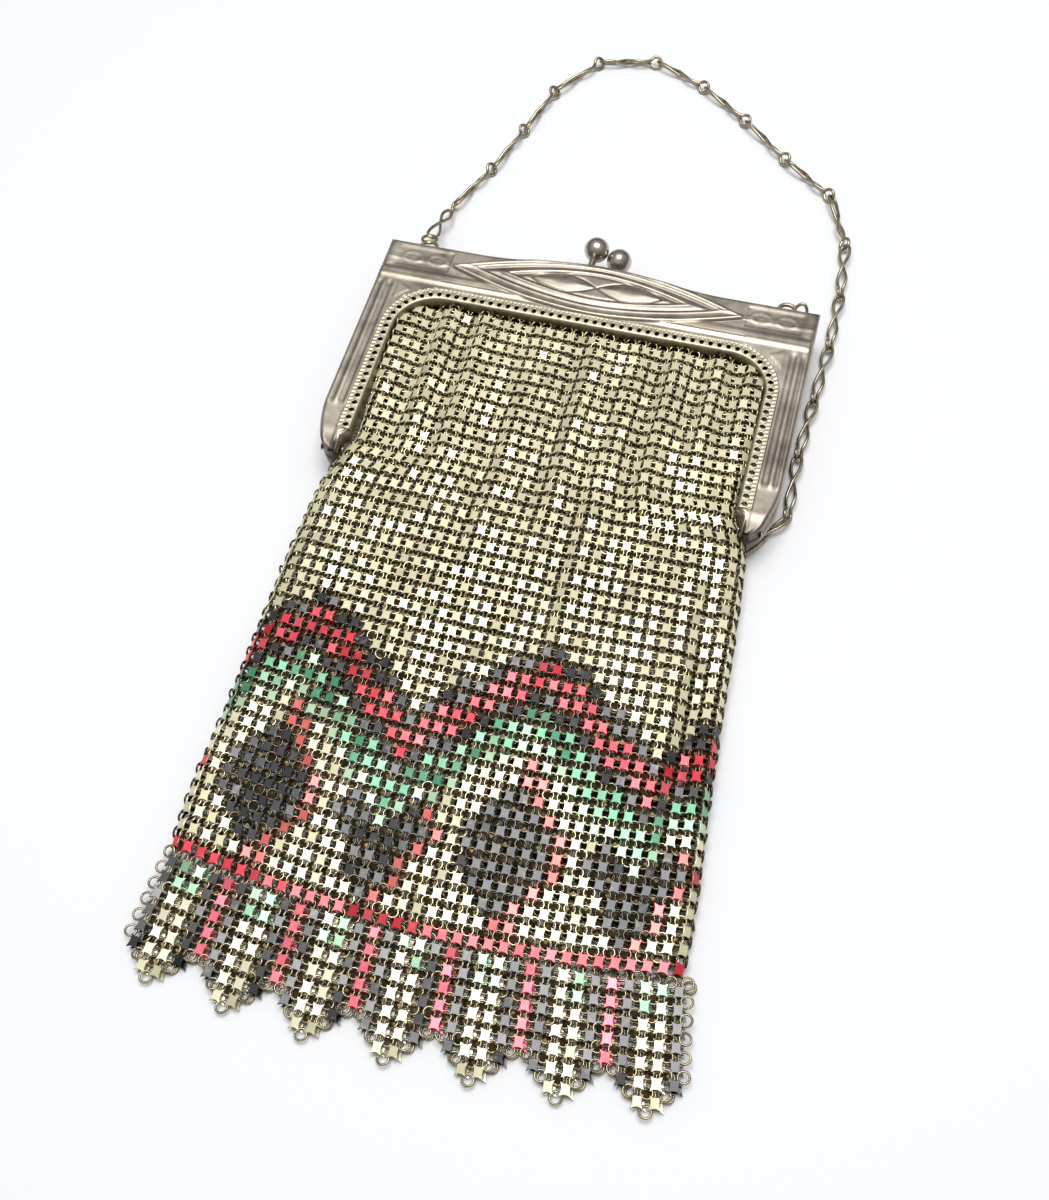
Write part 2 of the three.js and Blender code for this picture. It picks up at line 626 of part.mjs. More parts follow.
// One layer of the fringe, following the bag's foot, with its upper side at top
function fringe(shift, bottom) {
  const { left, right } = bagSection(BAG_LENGTH);
  const middle = (left + right) / 2;
  const half = (right - left) / 2;
  const place = (share, down) => {
    const spread = 1 + FRINGE_FLARE + FRINGE_SPREAD * down / FRINGE_TIP;
    const x = shift + half * share * spread;
    const sag = BAG_BOW * (1 - Math.min((x / half) ** 2, 1));
    return [middle + x, -BAG_LENGTH - GAP - sag - down];
  };
  const points = [];
  const steps = 4 * TABS;
  for (let i = 0; i <= steps; i += 1) {
    const share = 2 * i / steps - 1;
    const reach = [FRINGE_NOTCH, (FRINGE_NOTCH + FRINGE_TIP) / 2 + 1, FRINGE_TIP][Math.min(i % 4, 4 - i % 4)];
    points.push(place(share, reach));
  }
  for (let i = steps; i >= 0; i -= 2) {
    points.push(place(2 * i / steps - 1, 0));
  }
  return slab(shapeOf(points), bottom, bottom + FRINGE_THICKNESS);
}

// A closed wire through a ring of points
function closedWire(points, radius) {
  const count = points.length;
  const tangents = points.map((_, i) => new THREE.Vector3()
    .subVectors(points[(i + 1) % count], points[(i + count - 1) % count]).normalize());
  const side = new THREE.Vector3(0, 0, 1);
  if (Math.abs(tangents[0].z) > 0.8) {
    side.set(1, 0, 0);
  }
  let normal = new THREE.Vector3().crossVectors(tangents[0], side).normalize();
  const normals = [normal.clone()];
  for (let i = 1; i <= count; i += 1) {
    const turn = new THREE.Quaternion().setFromUnitVectors(tangents[i - 1], tangents[i % count]);
    normal = normal.clone().applyQuaternion(turn);
    normals.push(normal.clone());
  }
  const drift = Math.atan2(
    new THREE.Vector3().crossVectors(normals[0], normals[count]).dot(tangents[0]),
    normals[0].dot(normals[count]),
  );
  const positions = [];
  for (let i = 0; i < count; i += 1) {
    const across = new THREE.Vector3().crossVectors(tangents[i], normals[i]);
    for (let s = 0; s < WIRE_SIDES; s += 1) {
      const angle = 2 * Math.PI * s / WIRE_SIDES - drift * i / count;
      const point = points[i].clone()
        .addScaledVector(normals[i], radius * Math.cos(angle))
        .addScaledVector(across, radius * Math.sin(angle));
      positions.push(point.x, point.y, point.z);
    }
  }
  const indices = [];
  for (let i = 0; i < count; i += 1) {
    for (let s = 0; s < WIRE_SIDES; s += 1) {
      const a = i * WIRE_SIDES + s;
      const b = i * WIRE_SIDES + (s + 1) % WIRE_SIDES;
      const c = ((i + 1) % count) * WIRE_SIDES + (s + 1) % WIRE_SIDES;
      const d = ((i + 1) % count) * WIRE_SIDES + s;
      indices.push(a, b, c, a, c, d);
    }
  }
  const geometry = new THREE.BufferGeometry();
  geometry.setAttribute('position', new THREE.BufferAttribute(new Float32Array(positions), 3));
  geometry.setIndex(indices);
  return toSolid(geometry);
}

// Height of a link's middle, so that its lowest wire is just above the table
function linkHeight(roll) {
  const lean = Math.max(LOOP_HALF_WIDTH * Math.sin(roll), EYE_RADIUS * Math.cos(roll));
  return lean + WIRE_DIAMETER / 2 + TABLE_CLEARANCE;
}

// One link: a long loop, its two strands crossing, and an eye at right angles to the loop
function chainLink(start, end, roll) {
  const along = new THREE.Vector3().subVectors(end, start).normalize();
  const level = new THREE.Vector3().crossVectors(new THREE.Vector3(0, 0, 1), along).normalize();
  const up = new THREE.Vector3().crossVectors(along, level);
  const loopAcross = level.clone().multiplyScalar(Math.cos(roll)).addScaledVector(up, Math.sin(roll));
  const eyeAcross = level.clone().multiplyScalar(-Math.sin(roll)).addScaledVector(up, Math.cos(roll));
  const length = start.distanceTo(end) + 2 * LINK_BITE;
  const origin = start.clone().addScaledVector(along, -LINK_BITE);
  const half = STRAND_OFFSET;
  const eyeStart = length - 2 * EYE_RADIUS;
  const strand = [
    [length * 0.06, LOOP_HALF_WIDTH * 0.85, 0],
    [length * 0.3, LOOP_HALF_WIDTH, 0],
    [eyeStart - EYE_RADIUS * 0.8, half * 0.6, half * 0.8],
    [eyeStart + EYE_RADIUS * 0.4, 0, EYE_RADIUS * 0.84],
    [length - EYE_RADIUS * 0.5, 0, EYE_RADIUS * 0.92],
  ];
  const back = strand.slice().reverse().map(([u, v, w]) => [u, -v, -w]);
  return closedWire([[0, 0, 0], ...strand, [length, 0, 0], ...back].map(([u, v, w]) => origin.clone()
    .addScaledVector(along, u)
    .addScaledVector(loopAcross, v)
    .addScaledVector(eyeAcross, w)), WIRE_DIAMETER / 2);
}

// A plain oval ring round an eyelet's wire, reaching to the chain's end
function jumpRing(wire, end) {
  const along = new THREE.Vector3().subVectors(end, wire).normalize();
  const across = new THREE.Vector3().crossVectors(along, new THREE.Vector3(1, 0, 0)).normalize();
  const near = wire.clone().addScaledVector(along, -(EYELET_WIRE + WIRE_DIAMETER) / 2 - GAP);
  const far = end.clone().addScaledVector(along, LINK_BITE);
  const middle = near.clone().lerp(far, 0.5);
  const steps = 12;
  return closedWire(Array.from({ length: steps }, (_, i) => {
    const angle = 2 * Math.PI * i / steps;
    return middle.clone()
      .addScaledVector(along, near.distanceTo(far) / 2 * Math.cos(angle))
      .addScaledVector(across, JUMP_RING_WIDTH / 2 * Math.sin(angle));
  }), WIRE_DIAMETER / 2);
}

function chain() {
  const rolls = CHAIN_JOINTS.map(({ roll }) => THREE.MathUtils.degToRad(roll));
  const joints = CHAIN_JOINTS.map(({ across, up, lift }, i) => new THREE.Vector3(
    across * FRAME_WIDTH / 2,
    up * FRAME_WIDTH / 2,
    linkHeight(rolls[i]) + lift * FRAME_LIFT,
  ));
  const links = joints.slice(1).map((end, i) => chainLink(joints[i], end, rolls[i]));
  const eyeletWire = (side) => new THREE.Vector3(
    side * EYELET_FROM_CENTRE,
    BAR_TOP + EYELET_RISE + EYELET_DIAMETER / 2,
    MEETING_HEIGHT - GAP / 2 - EYELET_INSET,
  );
  return join([
    ...links,
    jumpRing(eyeletWire(-1), joints[0]),
    jumpRing(eyeletWire(1), joints[joints.length - 1]),
  ]);
}

function named(name, geometry, material) {
  const mesh = new THREE.Mesh(geometry, material);
  mesh.name = name;
  return mesh;
}

const purse = new THREE.Group();
purse.position.y = ORIGIN_TO_HOLE_LINE;

const half = halfFrame();
const frameFront = named('frame_front', toGeometry(half), FINISHES.silver);
frameFront.position.z = MEETING_HEIGHT + GAP / 2;

const eyelets = eyelet(-EYELET_FROM_CENTRE).add(eyelet(EYELET_FROM_CENTRE));
const frameBack = named('frame_back', toGeometry(half.add(eyelets)), FINISHES.silver);
frameBack.position.z = MEETING_HEIGHT - GAP / 2;
frameBack.rotation.y = Math.PI;

const clasp = new THREE.Group();
clasp.position.z = MEETING_HEIGHT;
clasp.add(named('clasp_ball_front', toGeometry(claspBall(-1)), FINISHES.nickel));
clasp.add(named('clasp_ball_back', toGeometry(claspBall(1)), FINISHES.nickel));

const hinges = new THREE.Group();
hinges.position.set(0, RIVET_FROM_TIP - ARM_LENGTH, MEETING_HEIGHT);
for (const [turn, name] of [[Math.PI, 'hinge_rivet_left'], [0, 'hinge_rivet_right']]) {
  const piece = named(name, toGeometry(toSolid(rivet())), FINISHES.nickel);
  piece.rotation.z = turn;
  hinges.add(piece);
}

purse.add(frameFront, frameBack, clasp, hinges);
purse.add(named('mesh_bag', meshBag(), FINISHES.enamel));
purse.add(named('fringe_back', toGeometry(fringe(FRINGE_SHIFT, 0)), FINISHES.fringe));
purse.add(named('fringe_front', toGeometry(fringe(0, FRINGE_THICKNESS + GAP)), FINISHES.fringe));
purse.add(named('chain', toGeometry(chain()), FINISHES.wire));

export default purse;
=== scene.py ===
"""Looks of the metal mesh purse: pressed frame, enamelled mesh, fringe, clasp and chain.

Lengths are in millimetres until they are stored. Inside the purse y = 0 is the line of holes along
the top of the frame's window; z is the height above the table.
"""

import math

import bpy
import numpy as np
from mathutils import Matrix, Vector
from mathutils.geometry import delaunay_2d_cdt


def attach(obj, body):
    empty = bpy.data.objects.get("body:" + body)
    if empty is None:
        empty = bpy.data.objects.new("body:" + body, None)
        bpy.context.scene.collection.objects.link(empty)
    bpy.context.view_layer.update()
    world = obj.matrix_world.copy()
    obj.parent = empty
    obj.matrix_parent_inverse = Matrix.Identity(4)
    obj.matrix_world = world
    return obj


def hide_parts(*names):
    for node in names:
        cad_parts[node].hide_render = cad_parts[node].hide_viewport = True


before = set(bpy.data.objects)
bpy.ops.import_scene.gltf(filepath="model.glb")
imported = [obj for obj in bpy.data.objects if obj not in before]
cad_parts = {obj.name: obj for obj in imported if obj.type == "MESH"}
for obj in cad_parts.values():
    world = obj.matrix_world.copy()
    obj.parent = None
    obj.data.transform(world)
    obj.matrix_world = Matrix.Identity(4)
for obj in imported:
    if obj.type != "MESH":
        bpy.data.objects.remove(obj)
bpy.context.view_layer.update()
rng = np.random.default_rng(7)

ORIGIN_TO_HOLE_LINE = 80.0
MM = 0.001
X, Y, Z = np.eye(3)

# Frame
FRAME_WIDTH = 113.5
HALF_WIDTH = FRAME_WIDTH / 2
BAR_TOP = 16.0
BAR_BULGE = 2.8
BULGE_HALF_WIDTH = 33.0
ARM_LENGTH = 52.0
TAPER_LENGTH = 14.0
TAPER_POWER = 1.8
TIP_INSIDE = 49.3
TIP_WIDTH = 3.9
TIP_ROUNDING = 1.3
TIP_CHAMFER = (1.75, 1.9)
FACE = 12.9
MEETING = 8.4
SHEET = 0.7
ROLL = 1.1

# Rim strip
HOLE_LINE_HALF = 49.05
HOLE_LINE_RADIUS = 12.2
HOLE_LINE_LENGTH = 45.0
HOLES = 79
HOLE_RADIUS = 0.7
RIM_INSIDE = 1.5
RIM_OUTSIDE = 1.9
WALL_DROP = 2.65
WALL_REACH = 1.8


def srgb(r, g, b):
    return tuple(((c / 255 + 0.055) / 1.055) ** 2.4 if c > 10 else c / 3294 for c in (r, g, b))


# ---- Meshes from arrays


def build(name, verts, faces, material, colours=None, smooth=True, values=None):
    """A mesh object from millimetres; colours and values are per vertex."""
    mesh = bpy.data.meshes.new(name)
    mesh.from_pydata((np.asarray(verts) + (0, ORIGIN_TO_HOLE_LINE, 0)) * MM, [], faces)
    mesh.validate()
    if smooth:
        mesh.polygons.foreach_set("use_smooth", np.ones(len(mesh.polygons), bool))
    if colours is not None:
        layer = mesh.color_attributes.new("Enamel", "FLOAT_COLOR", "POINT")
        rgba = np.ones((len(verts), 4), np.float32)
        rgba[:, :3] = colours
        layer.data.foreach_set("color", rgba.ravel())
    for key, numbers in (values or {}).items():
        layer = mesh.attributes.new(key, "FLOAT", "POINT")
        layer.data.foreach_set("value", np.asarray(numbers, np.float32))
    mesh.materials.append(material)
    obj = bpy.data.objects.new(name, mesh)
    bpy.context.scene.collection.objects.link(obj)
    return obj


def solidify(obj, thickness):
    modifier = obj.modifiers.new("Thickness", "SOLIDIFY")
    modifier.thickness = thickness * MM
    modifier.offset = -1
    modifier.use_even_offset = False


def finish_piece(obj, slot, *nodes):
    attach(obj, "root")
    if nodes:
        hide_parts(*nodes)


def stamp(shape, faces, places, frames):
    """Copies of a small shape, one for each place, turned by its three axes."""
    verts = np.einsum("nk,mkj->mnj", shape, frames) + places[:, None, :]
    count = len(shape)
    copies = [
        tuple(i + base for i in face)
        for base in range(0, len(places) * count, count)
        for face in faces
    ]
    return verts.reshape(-1, 3), copies


def torus(radius, wire, around, across):
    """Ring in the plane of the first two axes."""
    a = np.arange(around) * 2 * math.pi / around
    b = np.arange(across) * 2 * math.pi / across
    r = radius + wire * np.cos(b)[None, :]
    verts = np.stack(
        [np.cos(a)[:, None] * r, np.sin(a)[:, None] * r, np.broadcast_to(wire * np.sin(b), (around, across))],
        -1,
    ).reshape(-1, 3)
    faces = []
    for i in range(around):
        for j in range(across):
            k, m = (i + 1) % around, (j + 1) % across
            faces.append((i * across + j, k * across + j, k * across + m, i * across + m))
    return verts, faces


# ---- Materials


def material(name, metallic, roughness):
    mat = bpy.data.materials.new(name)
    mat.use_nodes = True
    shader = mat.node_tree.nodes["Principled BSDF"]
    shader.inputs["Metallic"].default_value = metallic
    shader.inputs["Roughness"].default_value = roughness
    return mat, mat.node_tree, shader


def link(tree, source, target):
    tree.links.new(source, target)


def noise(tree, scale, detail=4.0, roughness=0.6):
    place = tree.nodes.new("ShaderNodeTexCoord")
    node = tree.nodes.new("ShaderNodeTexNoise")
    node.inputs["Scale"].default_value = scale
    node.inputs["Detail"].default_value = detail
    node.inputs["Roughness"].default_value = roughness
    link(tree, place.outputs["Object"], node.inputs["Vector"])
    return node.outputs["Fac"]


def ramp(tree, source, stops):
    node = tree.nodes.new("ShaderNodeValToRGB")
    points = node.color_ramp.elements
    while len(points) < len(stops):
        points.new(0.5)
    for point, (position, colour) in zip(points, stops):
        point.position = position
        point.color = (*colour, 1)
    link(tree, source, node.inputs["Fac"])
    return node.outputs["Color"]


def mix(tree, factor, a, b):
    node = tree.nodes.new("ShaderNodeMix")
    node.data_type = "RGBA"
    inputs = {socket.identifier: socket for socket in node.inputs}
    for key, value in (("Factor_Float", factor), ("A_Color", a), ("B_Color", b)):
        if isinstance(value, (int, float)):
            inputs[key].default_value = value
        elif isinstance(value, tuple):
            inputs[key].default_value = (*value, 1)
        else:
            link(tree, value, inputs[key])
    return next(s for s in node.outputs if s.identifier == "Result_Color")


def span(tree, source, low, high, to_low, to_high):
    node = tree.nodes.new("ShaderNodeMapRange")
    for key, value in (("From Min", low), ("From Max", high), ("To Min", to_low), ("To Max", to_high)):
        node.inputs[key].default_value = value
    link(tree, source, node.inputs["Value"])
    return node.outputs["Result"]


def attribute(tree, name):
    node = tree.nodes.new("ShaderNodeAttribute")
    node.attribute_name = name
    return node


def bump(tree, shader, height, strength, distance):
    node = tree.nodes.new("ShaderNodeBump")
    node.inputs["Strength"].default_value = strength
    node.inputs["Distance"].default_value = distance
    link(tree, height, node.inputs["Height"])
    link(tree, node.outputs["Normal"], shader.inputs["Normal"])


def silver_material():
    mat, tree, shader = material("antique silver", 1.0, 0.4)
    cloud = noise(tree, 110, 6)
    fine = noise(tree, 1400, 3)
    base = ramp(tree, cloud, [(0.32, srgb(140, 130, 119)), (0.66, srgb(194, 185, 170))])
    # the attribute darkens the silver: tarnish in the hollows, plus painted shade in the cartouche's side
    # fields, round the almonds and at the arms' hinge ends
    dark_hollows_and_shade = attribute(tree, "dark_hollows_and_shade").outputs["Fac"]
    dark = mix(tree, dark_hollows_and_shade, base, srgb(84, 76, 72))
    worn = attribute(tree, "worn").outputs["Fac"]
    brassy = mix(tree, worn, dark, srgb(222, 206, 174))
    link(tree, brassy, shader.inputs["Base Color"])
    link(tree, span(tree, cloud, 0.3, 0.7, 0.3, 0.48), shader.inputs["Roughness"])
    bump(tree, shader, fine, 0.12, 0.00012)
    return mat


def rim_material():
    mat, tree, shader = material("rim strip", 1.0, 0.46)
    cloud = noise(tree, 300, 5)
    base = ramp(tree, cloud, [(0.3, srgb(176, 168, 142)), (0.7, srgb(210, 203, 178))])
    # the strip darkens towards olive in the milled grooves, and as painted shade on the wall dropping into
    # the bag and along the rolled inner edge
    dark_hollows_and_shade = attribute(tree, "dark_hollows_and_shade").outputs["Fac"]
    link(tree, mix(tree, dark_hollows_and_shade, base, srgb(92, 86, 58)), shader.inputs["Base Color"])
    return mat


def enamel_material():
    mat, tree, shader = material("enamelled plates", 0.32, 0.27)
    colour = attribute(tree, "Enamel").outputs["Color"]
    cloud = noise(tree, 420, 3)
    worn = mix(tree, span(tree, cloud, 0.58, 0.75, 0.0, 0.3), colour, srgb(188, 176, 138))
    link(tree, worn, shader.inputs["Base Color"])
    link(tree, span(tree, cloud, 0.3, 0.7, 0.23, 0.33), shader.inputs["Roughness"])
    shader.inputs["Coat Weight"].default_value = 0.4
    shader.inputs["Coat Roughness"].default_value = 0.12
    return mat


def ring_material():
    mat, tree, shader = material("mesh rings", 0.9, 0.2)
    colour = attribute(tree, "Enamel").outputs["Color"]
    tarnish = span(tree, noise(tree, 700, 3), 0.45, 0.7, 0.0, 0.5)
    link(tree, mix(tree, tarnish, colour, srgb(70, 56, 36)), shader.inputs["Base Color"])
    return mat


def plain_metal(name, light, dark, roughness, scale=400):
    mat, tree, shader = material(name, 1.0, roughness)
    cloud = noise(tree, scale, 5)
    link(tree, ramp(tree, cloud, [(0.3, dark), (0.7, light)]), shader.inputs["Base Color"])
    link(tree, span(tree, cloud, 0.3, 0.7, roughness * 0.8, roughness * 1.3), shader.inputs["Roughness"])
    return mat


SILVER = silver_material()
RIM = rim_material()
ENAMEL = enamel_material()
RINGS = ring_material()
WIRE = plain_metal("nickel wire", srgb(190, 178, 154), srgb(134, 122, 101), 0.28)
NICKEL = plain_metal("polished nickel", srgb(200, 192, 178), srgb(158, 149, 136), 0.22)


# ---- Half-frames


def bar_top(x):
    share = np.minimum(np.abs(x) / BULGE_HALF_WIDTH, 1)
    return BAR_TOP + BAR_BULGE * (1 + np.cos(np.pi * share)) / 2


def arm_side(y):
    share = min(max((TAPER_LENGTH - ARM_LENGTH - y) / TAPER_LENGTH, 0), 1)
    rounding = TIP_ROUNDING * max((3.5 - ARM_LENGTH - y) / 3.5, 0) ** 2
    return HALF_WIDTH - (HALF_WIDTH - TIP_INSIDE - TIP_WIDTH) * share**TAPER_POWER - rounding


def outer_side(inset, step):
    """Right outer side, from the tip up and along the top edge to the middle, moved inwards."""
    points = []
    count = int(math.ceil((ARM_LENGTH + BAR_TOP) / step))
    for i in range(count):
        y = -ARM_LENGTH + (ARM_LENGTH + BAR_TOP) * i / count
        points.append((arm_side(y) - inset, min(y, BAR_TOP - inset)))
    count = int(math.ceil(HALF_WIDTH / step))
    for i in range(count):
        share = 1 - i / count
        x = (HALF_WIDTH - inset) * share
        points.append((x, float(bar_top(x)) - inset))
    return points


def hole_line(s):
    """Points and outward normals on the hole line, by distance from the foot of the left arm."""
    side = HOLE_LINE_LENGTH - HOLE_LINE_RADIUS
    arc = HOLE_LINE_RADIUS * math.pi / 2
    top = 2 * (HOLE_LINE_HALF - HOLE_LINE_RADIUS)
    whole = 2 * (side + arc) + top
    s = np.asarray(s, float)
    flip = s > whole / 2
    d = np.where(flip, whole - s, s)
    angle = np.clip((d - side) / HOLE_LINE_RADIUS, 0, math.pi / 2)
    nx, ny = -np.cos(angle), np.sin(angle)
    x = -HOLE_LINE_HALF + HOLE_LINE_RADIUS + HOLE_LINE_RADIUS * nx
    y = -HOLE_LINE_RADIUS + HOLE_LINE_RADIUS * ny
    y = np.where(d < side, d - HOLE_LINE_LENGTH, y)
    x = x + np.maximum(d - side - arc, 0)
    sign = np.where(flip, -1.0, 1.0)
    return x * sign, y, nx * sign, ny


def hole_line_length():
    side = HOLE_LINE_LENGTH - HOLE_LINE_RADIUS
    return 2 * (side + HOLE_LINE_RADIUS * math.pi / 2) + 2 * (HOLE_LINE_HALF - HOLE_LINE_RADIUS)


def step_up(a, b, x):
    """0 below a, 1 above b, smooth between."""
    t = np.clip((x - a) / (b - a), 0, 1)
    return t * t * (3 - 2 * t)


def band(low, high, soft, x):
    return step_up(low - soft, low + soft, x) * (1 - step_up(high - soft, high + soft, x))


# Nested outlines of the cartouche: half-length, height of the tips, lowest and highest point
CARTOUCHE = [
    {"tip": 38.5, "level": 9.8, "low": 1.9, "high": 18.6, "ridge": 0.24, "wide": 0.8, "floor": 0.0},
    {"tip": 33.0, "level": 10.6, "low": 4.2, "high": 17.3, "ridge": 0.13, "wide": 0.4, "floor": -0.3},
    {"tip": 28.5, "level": 10.2, "low": 5.4, "high": 16.5, "ridge": 0.1, "wide": 0.4, "floor": 0.24},
    {"tip": 24.5, "level": 10.7, "low": 6.5, "high": 15.6, "ridge": 0.13, "wide": 0.4, "floor": -0.3},
    {"tip": 20.0, "level": 10.4, "low": 7.4, "high": 14.7, "ridge": 0.1, "wide": 0.35, "floor": 0.2},
]


def lens_edges(row, x):
    share = np.clip(np.abs(x) / row["tip"], 0, 1)
    lower = row["level"] - (row["level"] - row["low"]) * (1 - share**1.8)
    upper = row["level"] + (row["high"] - row["level"]) * (1 - share**1.8)
    return lower, upper


def almond_edge(x, y):
    """Depth inside the two almonds in the middle of the cartouche, negative outside."""
    return 2.85 * (1 - np.clip(np.abs(np.abs(x) - 8.6) / 8.6, 0, 1) ** 1.9) - np.abs(y - 10.9)


def relief(x, y):
    """Height of the pressed pattern over the frame's face."""
    x, y = np.broadcast_arrays(np.asarray(x, float), np.asarray(y, float))
    ax = np.abs(x)
    h = np.zeros(x.shape)
    # moulding along the bar, with a fine line in it
    h += 0.36 * band(3.2, 6.2, 0.6, y) - 0.1 * band(4.05, 4.3, 0.2, y)
    # end panels with ovals
    panel = band(38.9, 53.2, 0.3, ax) * band(7.6, 14.0, 0.3, y)
    h -= 0.15 * panel
    for centre in (42.6, 49.2):
        r = np.hypot((ax - centre) / 2.75, (y - 10.8) / 1.8)
        h += (0.13 * np.exp(-(((r - 0.92) / 0.17) ** 2)) + 0.06 * np.exp(-((r / 0.42) ** 2))) * (r < 1.6)
    h += 0.1 * band(54.0, 55.4, 0.3, ax) * band(7.0, 15.0, 0.4, y)
    # sunk lines down the arms
    along = step_up(-39.6, -38.0, y) * (1 - step_up(0.4, 2.4, y))
    h -= 0.24 * band(51.8, 53.3, 0.26, ax) * along
    h -= 0.22 * band(54.5, 55.5, 0.24, ax) * along
    h += 0.06 * band(53.5, 54.3, 0.2, ax) * along
    h -= 0.14 * (1 - step_up(-39.4, -38.8, y)) * step_up(50.4, 51.4, ax)
    h -= 1.5 * (1 - step_up(-53.0, -46.5, y))
    # three-cornered facet at each corner of the window
    a = step_up(0.0, 0.35, ax - 46.6 - (y + 0.2) * -0.1) * step_up(0.0, 0.35, 50.4 - ax)
    b = step_up(0.0, 0.35, 2.0 - y - (50.4 - ax) * 0.5) * step_up(0.0, 0.35, y + 4.2 - (50.4 - ax) * 1.05)
    h += 0.13 * a * b
    # cartouche: a swelling field with nested ridges
    lower, upper = lens_edges(CARTOUCHE[0], x)
    inside = step_up(-0.15, 0.35, np.minimum(y - lower, upper - y)) * (ax < 38.6)
    h = h * (1 - inside) + inside * 0.5
    for row in CARTOUCHE:
        lower, upper = lens_edges(row, x)
        margin = np.minimum(y - lower, upper - y)
        h += row["floor"] * step_up(0.1, 0.9, margin)
        h += row["ridge"] * np.exp(-(((margin - 0.3) / row["wide"]) ** 2)) * step_up(-0.4, 0.1, margin)
    edge = almond_edge(x, y)
    h -= 0.16 * np.exp(-(((edge - 0.05) / 0.3) ** 2)) * (np.abs(ax - 8.6) < 8.8)
    h += 0.34 * step_up(0.1, 2.6, edge)
    return h


def tip_shade(y):
    """Painted shade at the hinge ends of the arms."""
    return 0.8 * (1 - step_up(-50.6, -46.0, y))


def dark_hollows_shade_and_wear(x, y):
    """Darkening and bright wear, both from 0 to 1: tarnish in the hollows with painted shade in the
    cartouche's side fields, round the almonds and at the arms' hinge ends; wear on the ridges.
    """
    h = relief(x, y)
    reach = 0.55
    angles = np.arange(8) * math.pi / 4
    around = sum(relief(x + reach * math.cos(a), y + reach * math.sin(a)) for a in angles) / 8
    dark_hollows_and_shade = np.clip((around - h) * 4.5, 0, 1)
    ax = np.abs(x)
    almond = almond_edge(x, y)
    # painted shade: a dark outline round the two almonds and a darker dish inside them
    dark_hollows_and_shade = np.maximum(dark_hollows_and_shade, 0.62 * np.exp(-(((almond - 0.15) / 0.42) ** 2)) * (np.abs(ax - 8.6) < 8.8))
    dark_hollows_and_shade = np.maximum(dark_hollows_and_shade, 0.2 * step_up(0.3, 1.0, almond))
    dark_hollows_and_shade = np.maximum(dark_hollows_and_shade, 0.5 * band(3.95, 4.45, 0.2, y) * (lens_edges(CARTOUCHE[0], x)[0] > y))
    dark_hollows_and_shade = np.maximum(dark_hollows_and_shade, tip_shade(y))
    # painted shade in the sunk fields between the nested outlines, towards the cartouche's tips
    for outline, next_outline in ((1, 2), (3, 4)):
        depth, next_depth = (np.minimum(y - low, high - y) for low, high in
                             (lens_edges(CARTOUCHE[k], x) for k in (outline, next_outline)))
        near_tip = step_up(0.45, 0.8, ax / CARTOUCHE[outline]["tip"])
        field = step_up(0.3, 0.7, depth) * (1 - step_up(-0.4, 0.1, next_depth))
        dark_hollows_and_shade = np.maximum(dark_hollows_and_shade, 0.65 * near_tip * field)
    worn = 0.1 * band(3.3, 6.2, 0.2, np.asarray(y)) * (ax > 20) * (lens_edges(CARTOUCHE[0], x)[0] > y)
    worn = worn + np.clip((h - around) * 2.4, 0, 0.4)
    return dark_hollows_and_shade, np.clip(worn, 0, 1)


